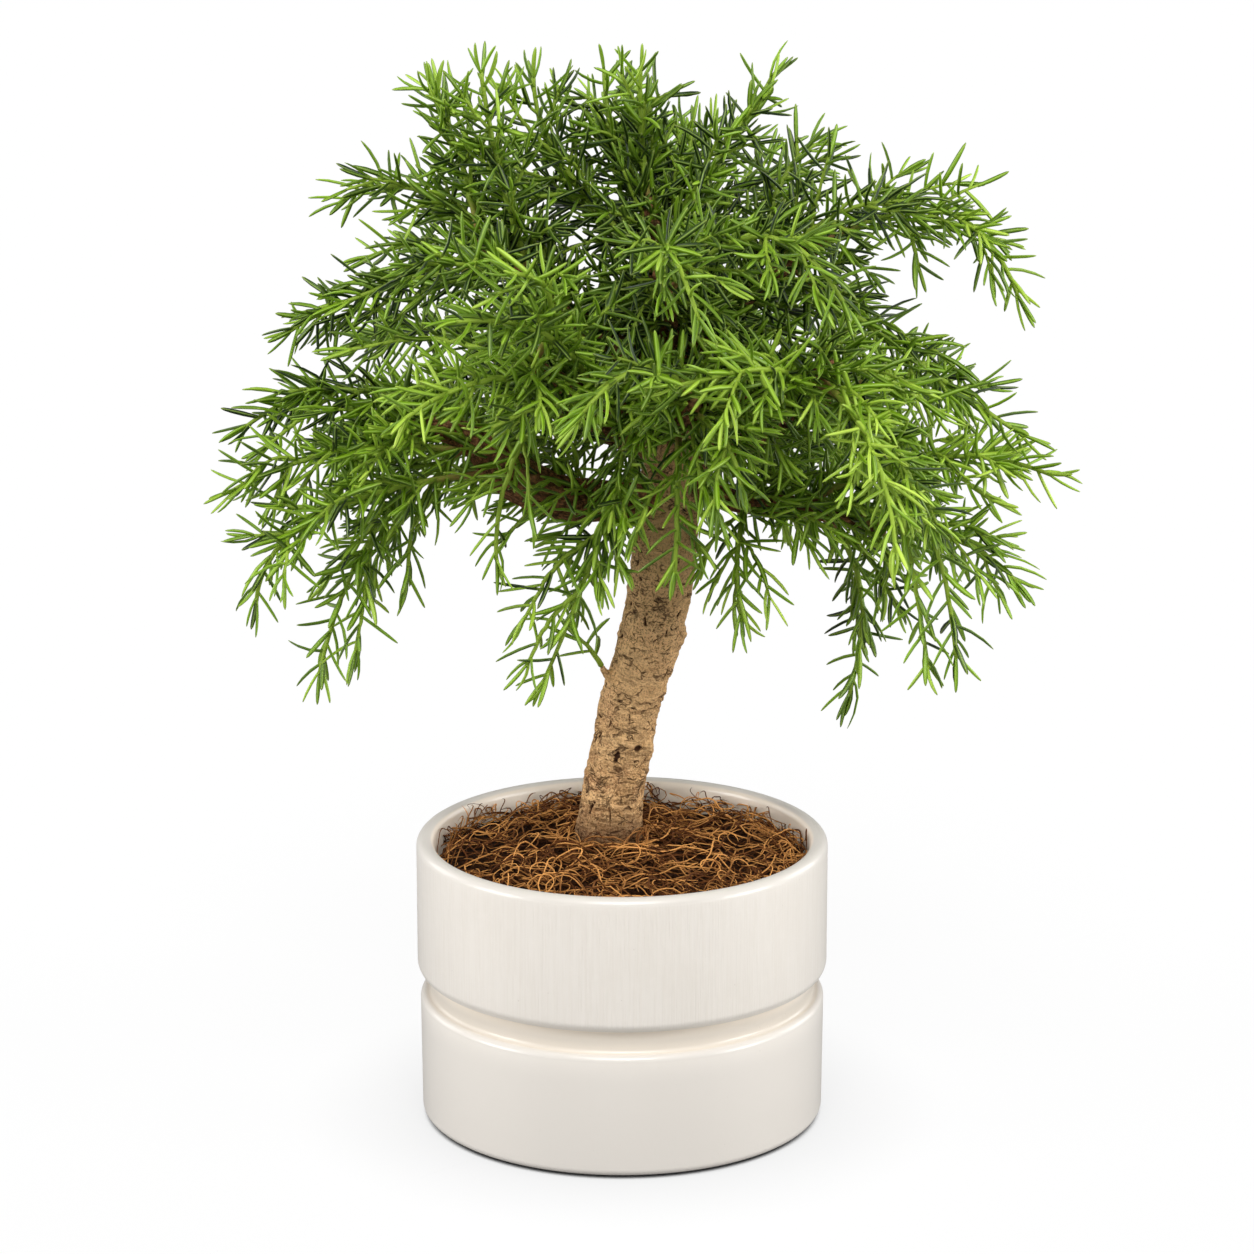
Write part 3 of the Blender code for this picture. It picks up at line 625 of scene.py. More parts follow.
def bark_finish(wood):
    finish = Finish("araucaria_bark", Roughness=0.9, Specular_IOR_Level=0.15)
    spot = finish.place()
    height = finish.parts(spot)[2]
    limb = finish.attribute("limb")
    crack = finish.attribute("crack")
    raised = finish.attribute("raised")
    course = finish.attribute("course", "Vector")  # across, ahead and along the wood, in millimetres
    bent = finish.warp(course, 6, 7)
    wrinkle = finish.noise(finish.stretch(course, (0.22, 0.22, 1.0)), 1.7, 3, 0.6, 0.4)
    grain = finish.noise(finish.stretch(course, (1.2, 1.2, 0.6)), 1.9, 4, 0.7)
    speckle = finish.noise(spot, 0.95, 2, 0.75)
    patch = finish.noise(spot, 9, 3, 0.6)
    wide = finish.noise(spot, 26, 2)
    plates = finish.stretch(bent, (0.55, 0.55, 1.2))
    broken = finish.noise(spot, 4.5, 1).rise(0.5, 0.6)
    edges = finish.cells(plates, 9, "DISTANCE_TO_EDGE").rise(0.035, 0.005) * broken
    shade = finish.parts(finish.cells(plates, 9, output="Color"))[0]
    checks = abs(finish.noise(finish.stretch(bent, (1.2, 1.2, 0.6)), 4.0, 2, 0.5) - 0.5)
    checks = checks.rise(0.018, 0.0) * patch.rise(0.5, 0.62)
    folds = abs(finish.noise(finish.stretch(bent, (0.5, 0.5, 1.4)), 6.5, 2, 0.5, 0.5) - 0.5)
    folds = folds.rise(0.034, 0.004) * finish.noise(spot, 7, 1).rise(0.5, 0.6) * (1 - limb)
    dark = (crack.rise(0.12, 0.75) + edges * 0.65 + checks * 0.75 + folds * 0.72).math("MINIMUM", 1)
    low = height.rise(205, 150)
    red = finish.mix(grain.rise(0.4, 0.62), scaled(wood.limb, 0.4), scaled(wood.limb, 1.75))
    # The limbs' wrinkles darker in their hollows: partly the bark's own colour, partly painted shade
    red = finish.mix(wrinkle.rise(0.45, 0.33) * 0.6, red, scaled(wood.limb, 0.22))
    color = finish.layers(
        scaled(wood.bark, 0.55),
        (patch.rise(0.34, 0.66), scaled(wood.bark, 1.15)),
        (shade * 0.4, wood.pale),
        (patch.rise(0.6, 0.42) * wide.rise(0.44, 0.6) * 0.4, scaled(wood.limb, 1.9)),
        (grain.rise(0.5, 0.64) * 0.5, wood.pale),
        # The wrinkles darker in their hollows and paler on their crests: partly the bark's own colour, partly
        # painted shade and highlight
        (wrinkle.rise(0.5, 0.35) * (0.6 + 0.2 * low), scaled(wood.bark, 0.34)),
        (wrinkle.rise(0.53, 0.67) * (0.42 + 0.25 * low), scaled(wood.pale, 1.12)),
        (limb * 0.9, red),
        (raised * 0.45, wood.pale),
        # Painted light: the trunk paler higher up, where the crown shades it
        (height.rise(140, 235) * (1 - limb) * 0.58, scaled(wood.pale, 1.06)),
        (speckle.rise(0.5, 0.62) * (0.35 + 0.4 * wide.rise(0.4, 0.6)), scaled(wood.bark, 0.22)),
        (speckle.rise(0.46, 0.36) * (1 - limb) * 0.5, wood.pale),
        ((height + 10 * patch).rise(148, 130) * 0.7, scaled(wood.crack, 1.3)),
        (dark, wood.crack),
    )
    relief = wrinkle + grain * (0.8 + limb) - speckle * 0.7 - edges - checks - folds * 1.2
    return finish.wear(Base_Color=color, Normal=finish.bump(relief, 0.8 * MM))


def needle_finish(foliage):
    finish = Finish("araucaria_needle", Specular_IOR_Level=0.38)
    along, across, tone = finish.parts(finish.attribute("leaf", "Vector"))
    spot = finish.place()
    fine = finish.noise(spot, 3.5, 2, 0.6)
    blush = finish.noise(spot, 22, 2)
    share = tone + 0.22 * (blush - 0.5) + 0.08 * (fine - 0.5)
    stops = [(0, foliage.old), (0.45, foliage.leaf), (1, foliage.young)]
    color = finish.add("ShaderNodeValToRGB", {"stops": stops}, {0: share})
    off_middle = abs(across)
    middle = off_middle.rise(0.45, 0.0)
    bloom_and_sheen = finish.noise(spot, 3.0, 2).rise(0.48, 0.75) * (1 - tone).rise(0.3, 0.8)
    color = finish.layers(
        color,
        # The needle's edges darker and its middle paler: partly its own pale midline, partly painted shade
        # and a painted highlight along it
        (off_middle.rise(0.5, 1.0) * 0.36, foliage.old),
        (middle * 0.42, foliage.rib_and_sheen),
        (along.rise(0.16, 0.0) * 0.55, foliage.stem),
        (along.rise(0.86, 1.0) * 0.4, NEEDLE_TIP),
        # Bloom on the old needles, partly a painted bluish sheen standing in for their reflection
        (bloom_and_sheen * 0.08, NEEDLE_BLOOM_AND_SHEEN),
    )
    rough = 0.32 + 0.14 * fine
    return finish.wear(Base_Color=color, Roughness=rough, Normal=finish.bump(middle, 0.08 * MM))


def stem_finish(foliage, wood):
    finish = Finish("shoot_stem", Specular_IOR_Level=0.2)
    age, _, tone = finish.parts(finish.attribute("leaf", "Vector"))
    spot = finish.place()
    grain = finish.noise(spot, 1.0, 3, 0.6)
    green = finish.mix(tone, scaled(foliage.stem, 0.62), scaled(foliage.stem, 1.2))
    woody = finish.mix(grain, scaled(wood.limb, 0.6), scaled(wood.bark, 0.9))
    brown = (age + 0.3 * (grain - 0.5)).rise(0.68, 0.95)
    color = finish.mix(brown, green, woody)
    rough = 0.45 + 0.35 * brown
    return finish.wear(Base_Color=color, Roughness=rough, Normal=finish.bump(grain, 0.2 * MM))


def floor_finish(stage):
    """Plain pale floor: white to the eye, with the object's shadow kept, and a painted shadow where the glow
    dims near the object and its foot.
    """
    finish = Finish("studio_floor")
    tree = finish.tree

    def openness(reach):
        return finish.add("ShaderNodeAmbientOcclusion", {"samples": 8}, {"Distance": reach * MM}, "AO")

    def glow(strength):
        return finish.add("ShaderNodeEmission", {}, {"Color": (1, 1, 1), "Strength": strength})

    seen = finish.add("ShaderNodeLightPath", {}, {}, "Is Camera Ray")
    plain = finish.add("ShaderNodeBsdfDiffuse", {}, {"Color": stage.floor})
    soft = finish.add("ShaderNodeBsdfDiffuse", {}, {"Color": (0.07, 0.07, 0.07)})
    # Painted shadow: the glow dims where the object stands within 60 millimetres
    glow_with_painted_shadow = finish.add("ShaderNodeMixShader", {}, {0: openness(60), 1: glow(0.68), 2: glow(0.915)})
    bright = finish.add("ShaderNodeAddShader", {}, {0: glow_with_painted_shadow, 1: soft})
    # Painted contact shadow: within about 9 millimetres of the object only the dark diffuse is left
    clear = openness(9).rise(0.12, 0.5)
    bright = finish.add("ShaderNodeMixShader", {}, {0: clear, 1: soft, 2: bright})
    surface = finish.add("ShaderNodeMixShader", {}, {0: seen, 1: plain, 2: bright})
    tree.nodes.remove(finish.shader)
    tree.links.new(surface.output, tree.nodes["Material Output"].inputs["Surface"])
    return finish.material


# Modelling


def deselect():
    if bpy.context.object and bpy.context.object.mode != "OBJECT":
        bpy.ops.object.mode_set(mode="OBJECT")
    bpy.ops.object.select_all(action="DESELECT")


def activate(*pieces):
    """Selects only these pieces, and makes the first the active one."""
    deselect()
    for piece in pieces:
        piece.select_set(True)
    bpy.context.view_layer.objects.active = pieces[0]


def primitive(add, name, **settings):
    """What an operator such as primitive_cylinder_add adds, named, with its place in its mesh."""
    deselect()
    add(**settings)
    piece = bpy.context.object
    piece.name = piece.data.name = name
    bpy.ops.object.transform_apply(location=True, rotation=True, scale=True)
    return piece


def choose(piece, wanted, kind="EDGE"):
    """In edit mode, selects the vertices, edges or faces of a piece that are as wanted."""
    bpy.ops.mesh.select_mode(type=kind)
    bpy.ops.mesh.select_all(action="DESELECT")
    shape = bmesh.from_edit_mesh(piece.data)
    rows = {"VERT": shape.verts, "EDGE": shape.edges, "FACE": shape.faces}[kind]
    found = 0
    for row in rows:
        if wanted(row):
            row.select_set(True)
            found += 1
    shape.select_flush_mode()
    bmesh.update_edit_mesh(piece.data)
    if not found:
        raise RuntimeError(f"nothing of {piece.name} is as wanted")


def modify(piece, kind, **settings):
    """Adds a modifier and applies it."""
    activate(piece)
    modifier = piece.modifiers.new(kind.lower(), kind)
    for name, value in settings.items():
        setattr(modifier, name, value)
    bpy.ops.object.modifier_apply(modifier=modifier.name)


def soften(piece, angle=40):
    activate(piece)
    bpy.ops.object.shade_smooth_by_angle(angle=math.radians(angle))


def dress(piece, *materials):
    slots = piece.data.materials
    while len(slots) < len(materials):
        slots.append(None)
    for number, material in enumerate(materials):
        slots[number] = material


def enlist(piece, slot, *nodes):
    """Puts a finished piece on the object's body and hides the CAD nodes it stands for; the finish slot it is
    given is not used.
    """
    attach(piece, BODY)
    if nodes:
        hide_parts(*nodes)


def spun(name, outline, steps):
    """A shape whose outline of (radius, height) points is drawn out point by point and spun about Z."""
    piece = primitive(bpy.ops.mesh.primitive_plane_add, name, size=MM)
    bpy.ops.object.mode_set(mode="EDIT")
    bpy.ops.mesh.select_all(action="SELECT")
    bpy.ops.mesh.merge(type="CENTER")
    bpy.ops.transform.translate(value=(outline[0][0] * MM, 0, outline[0][1] * MM))
    for here, there in zip(outline, outline[1:]):
        step = ((there[0] - here[0]) * MM, 0, (there[1] - here[1]) * MM)
        bpy.ops.mesh.extrude_vertices_move(TRANSFORM_OT_translate={"value": step})
    bpy.ops.mesh.select_all(action="SELECT")
    bpy.ops.mesh.spin(steps=steps, angle=math.tau, center=(0, 0, 0), axis=(0, 0, 1))
    bpy.ops.mesh.select_all(action="SELECT")
    bpy.ops.mesh.remove_doubles(threshold=0.005 * MM)
    bpy.ops.mesh.normals_make_consistent(inside=False)
    bpy.ops.object.mode_set(mode="OBJECT")
    return piece


def copied(piece, name):
    """A copy of a piece with a mesh of its own."""
    twin = bpy.data.objects.new(name, piece.data.copy())
    twin.data.name = name
    bpy.context.scene.collection.objects.link(twin)
    return twin


def coordinates(piece, kind="co"):
    """A row for each vertex: its place, or with the kind "normal" the direction it faces."""
    rows = np.empty(len(piece.data.vertices) * 3)
    piece.data.vertices.foreach_get(kind, rows)
    return rows.reshape(-1, 3)


def move_to(piece, rows):
    piece.data.vertices.foreach_set("co", np.asarray(rows, np.float32).ravel())
    piece.data.update()


def store(piece, name, values):
    """Keeps one number or one vector for each vertex."""
    values = np.asarray(values, np.float32)
    kind = "FLOAT" if values.ndim == 1 else "FLOAT_VECTOR"
    attribute = piece.data.attributes.new(name, kind, "POINT")
    attribute.data.foreach_set("value" if values.ndim == 1 else "vector", values.ravel())


def lumps(points, size, seed):
    """Smooth noise of about -1 to 1 at rows of points, with features about size across."""
    draw = np.random.default_rng(seed)
    order = draw.permutation(256)
    slopes = draw.normal(size=(256, 3))
    slopes /= np.linalg.norm(slopes, axis=1)[:, None]
    points = np.asarray(points) / size
    cell = np.floor(points).astype(int)
    part = points - cell
    fade = part**3 * (part * (part * 6 - 15) + 10)
    total = np.zeros(len(points))
    for corner in itertools.product((0, 1), repeat=3):
        x, y, z = (cell + corner).T & 255
        slope = slopes[order[(order[(order[x] + y) & 255] + z) & 255]]
        weight = np.prod(np.where(corner, fade, 1 - fade), axis=1)
        total += weight * (slope * (part - corner)).sum(axis=1)
    return total * 1.6


def smooth_path(stations, step):
    """Rows about a step apart on a smooth curve through the stations, which may hold a radius too."""
    knots = [np.array(station, float) for station in stations]
    knots = [2 * knots[0] - knots[1], *knots, 2 * knots[-1] - knots[-2]]
    rows = []
    for a, b, c, d in zip(knots, knots[1:], knots[2:], knots[3:]):
        pieces = max(1, round(float(np.linalg.norm((c - b)[:3])) / step))
        for t in np.arange(pieces) / pieces:
            rows.append(0.5 * (2 * b + (c - a) * t + (2 * a - 5 * b + 4 * c - d) * t**2
                               + (3 * b - a - 3 * c + d) * t**3))
    return np.array([*rows, knots[-2]])


def with_ends(path):
    """A path of x, y, z and radius with a point of no radius just past each end, so that its tube closes."""
    ends = []
    for end, inner in ((0, 1), (-1, -2)):
        outward = path[end, :3] - path[inner, :3]
        outward *= 0.6 * path[end, 3] / np.linalg.norm(outward)
        ends.append([*(path[end, :3] + outward), 0])
    return np.vstack([ends[0], path, ends[1]])


def tubes(name, paths, roundness, values=None):
    """One mesh of closed tubes; a path is rows of x, y, z and radius in millimetres.

    values is the name of a vertex attribute and, for each path, its value at each of that path's points.
    """
    curve = bpy.data.curves.new(name, "CURVE")
    curve.dimensions = "3D"
    curve.twist_mode = "MINIMUM"
    curve.bevel_depth = 1
    curve.bevel_resolution = roundness
    for path in map(with_ends, paths):
        spline = curve.splines.new("POLY")
        spline.points.add(len(path) - 1)
        places = np.column_stack([path[:, :3] * MM, np.ones(len(path))])
        spline.points.foreach_set("co", places.astype(np.float32).ravel())
        spline.points.foreach_set("radius", (path[:, 3] * MM).astype(np.float32))
    piece = bpy.data.objects.new(name, curve)
    bpy.context.scene.collection.objects.link(piece)
    activate(piece)
    bpy.ops.object.convert(target="MESH")
    piece = bpy.context.object
    piece.name = piece.data.name = name
    piece.data.materials.clear()
    if values:
        around = 4 + 2 * roundness
        rows = [np.concatenate([row[:1], row, row[-1:]]) for row in values[1]]
        store(piece, values[0], np.repeat(np.concatenate(rows), around, axis=0))
    bpy.ops.object.mode_set(mode="EDIT")
    bpy.ops.mesh.select_all(action="SELECT")
    bpy.ops.mesh.remove_doubles(threshold=0.001 * MM)
    bpy.ops.mesh.normals_make_consistent(inside=False)
    bpy.ops.object.mode_set(mode="OBJECT")
    piece.data.shade_smooth()
    return piece


# Pieces


class BONSAI_OT_pot(Operator):
    """Spin the two-banded pot, round its corners and drill its drain holes"""

    bl_idname = "bonsai.pot"
    bl_label = "Ceramic Pot"

    def execute(self, context):
        corners = [(radius, height) for radius, height, _ in POT_CORNERS]
        outline = [(0, POT_FLOOR), *corners, (0, POT_UNDERSIDE)]
        pot = spun("pot_body", outline, POT_STEPS)
        bpy.ops.object.mode_set(mode="EDIT")
        for radius, height, rounding in POT_CORNERS:
            if rounding:
                self.round_corner(pot, radius, height, rounding)
        bpy.ops.object.mode_set(mode="OBJECT")
        self.drill(pot)
        soften(pot, 35)
        dress(pot, glaze_finish(context.scene.bonsai.pot))
        enlist(pot, "glazed_pot", "pot")
        return {"FINISHED"}

    def round_corner(self, pot, radius, height, rounding):
        def at_corner(edge):
            return all(
                abs(vertex.co.z - height * MM) < ROUND_SLACK * MM
                and abs(vertex.co.xy.length - radius * MM) < ROUND_SLACK * MM
                for vertex in edge.verts
            )

        choose(pot, at_corner)
        segments = max(2, min(8, round(rounding * 2)))
        bpy.ops.mesh.bevel(offset=rounding * MM, offset_type="OFFSET", segments=segments, affect="EDGES")

    def drill(self, pot):
        for x, y in DRAIN_PLACES:
            drill = primitive(
                bpy.ops.mesh.primitive_cylinder_add, "drain_drill", vertices=48, radius=DRAIN_RADIUS * MM,
                depth=4 * POT_FLOOR * MM, location=(x * MM, y * MM, 0),
            )
            modify(pot, "BOOLEAN", operation="DIFFERENCE", solver="EXACT", object=drill)
            bpy.data.objects.remove(drill)


class BONSAI_OT_drainage(Operator):
    """Lay a square of plastic mesh over each drain hole, and give the soil its finish"""

    bl_idname = "bonsai.drainage"
    bl_label = "Soil and Drain Mesh"

    def execute(self, context):
        fill = context.scene.bonsai.fill
        low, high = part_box("drain_mesh_1")
        screen = self.screen(low.z, high.z)
        dress(screen, plastic_finish(fill))
        for number, (x, y) in enumerate(DRAIN_PLACES, 1):
            mesh = copied(screen, f"drain_screen_{number}")
            move_to(mesh, coordinates(mesh) + np.array((x, y, 0)) * MM)
            enlist(mesh, "drain_mesh", f"drain_mesh_{number}")
        bpy.data.objects.remove(screen)
        dress(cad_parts["soil"], soil_finish(fill))
        return {"FINISHED"}

    def screen(self, bottom, top):
        """A square of plastic mesh round the origin, between two heights.

        The wires stand a little past their grid's edge, so they are brought back to it.
        """
        mesh = primitive(
            bpy.ops.mesh.primitive_grid_add, "drain_screen", x_subdivisions=MESH_CELLS,
            y_subdivisions=MESH_CELLS, size=MESH_SIDE * MM, location=(0, 0, (bottom + top) / 2),
        )
        modify(mesh, "WIREFRAME", thickness=top - bottom, use_even_offset=False, use_replace=True)
        modify(mesh, "BEVEL", width=0.15 * MM, segments=2, limit_method="ANGLE")
        edge = MESH_SIDE / 2 * MM
        move_to(mesh, np.clip(coordinates(mesh), (-edge, -edge, bottom), (edge, edge, top)))
        soften(mesh)
        return mesh


def coir_top(x, y):
    """The height of the coir bed at a place, with its lumps and hollows."""
    reach = np.hypot(x, y) / COIR_REACH
    flat = np.column_stack([x, y, np.zeros(len(x))])
    dome = COIR_CROWN + (COIR_EDGE - COIR_CROWN) * reach**2
    return dome + lumps(flat, 17, 3) * 1.5 + lumps(flat, 7, 4) * 1.1 - 0.8


def fibre_path(draw, start, heading, length, curl, rest, arch, radius):
    """Rows of x, y, z and radius of one fibre that wanders over the coir bed.

    rest is its height above the bed and arch how much higher its middle bows.
    """
    count = max(6, round(length / FIBRE_STEP))
    step = length / (count - 1)
    spot = np.array(start, float)
    rows = []
    bend = draw.normal(0, curl)
    for _ in range(count):
        rows.append(spot.copy())
        bend = bend * 0.8 + draw.normal(0, curl) * 0.6
        heading += bend
        spot = spot + step * np.array([math.cos(heading), math.sin(heading)])
        reach = math.hypot(*spot)
        if reach > COIR_REACH - radius:
            spot *= (COIR_REACH - radius) / reach
            heading += 0.35 * math.copysign(1, math.sin(math.atan2(spot[1], spot[0]) - heading))
        away = spot - np.array(STEM_FOOT[:2])
        near = math.hypot(*away)
        if near < STEM_FOOT[2]:
            spot = np.array(STEM_FOOT[:2]) + away / near * STEM_FOOT[2]
    rows = np.array(rows)
    share = np.linspace(0, 1, count)
    wave = draw.normal(0, 0.9) * np.sin(share * draw.uniform(3, 9) + draw.uniform(0, 6))
    height = coir_top(rows[:, 0], rows[:, 1]) + rest + wave + arch * np.sin(np.pi * share) ** 1.5
    thin = radius * np.clip(np.minimum(share, 1 - share) * 9, 0.35, 1)
    return np.column_stack([rows, height, thin])


class BONSAI_OT_coir(Operator):
    """Lay the coir: a lumpy bed, the tangle of fibres on it and the long strands on top"""

    bl_idname = "bonsai.coir"
    bl_label = "Coir Mulch"

    def execute(self, context):
        fill = context.scene.bonsai.fill
        self.lay_bed(fill)
        draw = np.random.default_rng(COIR_SEED)
        tangle = [self.fibre(draw, fill, *TANGLE_LIE) for _ in range(fill.fibres)]
        strands = [self.fibre(draw, fill, *STRAND_LIE) for _ in range(fill.fibres // 4)]
        strands += [self.curl(draw, fill) for _ in range(fill.fibres * 2 // 5)]
        strands += [self.riser(draw, fill, turn) for turn in np.linspace(0, math.tau, RISERS, endpoint=False)]
        strands += [self.collar(draw, fill) for _ in range(COLLARS)]
        # The tangle below takes the darker tones and the strands on top the paler: partly darker fibres,
        # partly painted shade of the lower layers
        self.make("coir_tangle", tangle, draw, (0.0, 0.30), fill)
        self.make("coir_strands", strands, draw, (0.24, 1.20), fill)
        return {"FINISHED"}

    def lay_bed(self, fill):
        depth = (COIR_EDGE - COIR_BOTTOM) * MM
        bed = primitive(
            bpy.ops.mesh.primitive_cylinder_add, "coir_bed", vertices=160, radius=COIR_REACH * MM,
            depth=depth, location=(0, 0, COIR_BOTTOM * MM + depth / 2),
        )
        bpy.ops.object.mode_set(mode="EDIT")
        choose(bed, lambda face: face.normal.z > 0.9, "FACE")
        for _ in range(BED_RINGS):
            bpy.ops.mesh.inset(thickness=BED_RING_GAP * MM)
        bpy.ops.mesh.merge(type="CENTER")
        bpy.ops.object.mode_set(mode="OBJECT")
        rows = coordinates(bed) / MM
        top = rows[:, 2] > COIR_EDGE - 0.01
        height = coir_top(rows[:, 0], rows[:, 1]) - 2.6 + lumps(rows, 3.4, 5) * 1.5
        rows[top, 2] = height[top]
        move_to(bed, rows * MM)
        soften(bed, 60)
        # The bed darker lower down: partly its own darker colour, partly painted shade in its hollows
        store(bed, "tone", np.clip(0.15 + 0.2 * (rows[:, 2] - COIR_EDGE) / 4 + 0.2 * lumps(rows, 3, 6), 0, 1))
        dress(bed, coir_finish(fill, "coir_bed", 0.0, 0.4))
        enlist(bed, "coir_fibre", "coir_mulch")

    def anywhere(self, draw):
        """A place on the bed, clear of the trunk."""
        while True:
            reach = (COIR_REACH - 1) * math.sqrt(draw.uniform(0, 1))
            turn = draw.uniform(0, math.tau)
            spot = (reach * math.cos(turn), reach * math.sin(turn))
            if math.dist(spot, STEM_FOOT[:2]) > STEM_FOOT[2]:
                return spot

    def thickness(self, draw, fill, low, high):
        """The radius of a fibre, between two shares of a thick one's."""
        return fill.fibre / MM * draw.uniform(low, high)

    def fibre(self, draw, fill, shares, *lie):
        """A fibre that wanders over the bed."""
        radius = self.thickness(draw, fill, *shares)
        start, heading = self.anywhere(draw), draw.uniform(0, math.tau)
        return fibre_path(draw, start, heading, *(draw.uniform(*limits) for limits in lie), radius)

    def curl(self, draw, fill):
        """A fibre wound into most of a loop."""
        radius = self.thickness(draw, fill, 0.6, 1.0)
        x, y = self.anywhere(draw)
        turns = draw.uniform(0.5, 1.05) * math.tau
        count = 13
        angle = draw.uniform(0, math.tau) + np.linspace(0, turns, count)
        wide = draw.uniform(2.2, 6.5) * (1 + 0.25 * np.linspace(0, 1, count))
        squash = draw.uniform(0.55, 1)
        rows = np.column_stack([x + wide * np.cos(angle), y + wide * squash * np.sin(angle)])
        reach = np.hypot(*rows.T)
        rows *= np.minimum(1, (COIR_REACH - 1) / reach)[:, None]
        tilt = draw.uniform(0.5, 3.6) * (1 + np.sin(angle + draw.uniform(0, 6)))
        height = coir_top(rows[:, 0], rows[:, 1]) + draw.uniform(0.3, 1.6) + tilt
        share = np.linspace(0, 1, count)
        thin = radius * np.clip(np.minimum(share, 1 - share) * 8, 0.35, 1)
        return np.column_stack([rows, height, thin])

    def riser(self, draw, fill, turn):
        """A fibre that stands up against the pot's wall and bends over at its end."""
        radius = self.thickness(draw, fill, 0.5, 0.9)
        turn += draw.normal(0, 0.05)
        count = 11
        share = np.linspace(0, 1, count)
        rise = draw.uniform(3, 13)
        inward = draw.uniform(1, 5) * np.sin(share * math.pi * draw.uniform(0.5, 1.1))
        reach = COIR_REACH - radius - 0.4 - draw.uniform(0, 5) - inward
        sweep = draw.normal(0, 0.1)
        angle = turn + sweep * share + draw.normal(0, 0.02) * np.sin(share * 7)
        height = COIR_EDGE - 0.8 + rise * np.sin(share * math.pi * draw.uniform(0.45, 0.85))
        thin = radius * np.clip((1 - share) * 4, 0.3, 1)
        return np.column_stack([reach * np.cos(angle), reach * np.sin(angle), height, thin])

    def collar(self, draw, fill):
        """A fibre that passes close round the foot of the trunk."""
        radius = self.thickness(draw, fill, 0.6, 1.0)
        count = 13
        sweep = draw.uniform(0.6, 2.0) * draw.choice((-1, 1))
        angle = draw.uniform(0, math.tau) + np.linspace(-0.5, 0.5, count) * sweep
        away = np.linspace(-1, 1, count) ** 2
        reach = STEM_FOOT[2] + radius + 0.3 + draw.uniform(0, 1.5) + draw.uniform(2, 14) * away
        x, y = STEM_FOOT[0] + reach * np.cos(angle), STEM_FOOT[1] + reach * np.sin(angle)
        height = coir_top(x, y) + draw.uniform(1, 8.5) * (1 - away) + draw.uniform(0.4, 1.8)
        thin = radius * np.clip((1 - away) * 4, 0.4, 1)
        return np.column_stack([x, y, height, thin])

    def make(self, name, paths, draw, range_of_tone, fill):
        tones = [np.full(len(path), draw.uniform(0, 1) ** 1.5) for path in paths]
        piece = tubes(name, paths, 0, ("tone", tones))
        dress(piece, coir_finish(fill, name, *range_of_tone))
        enlist(piece, "coir_fibre")


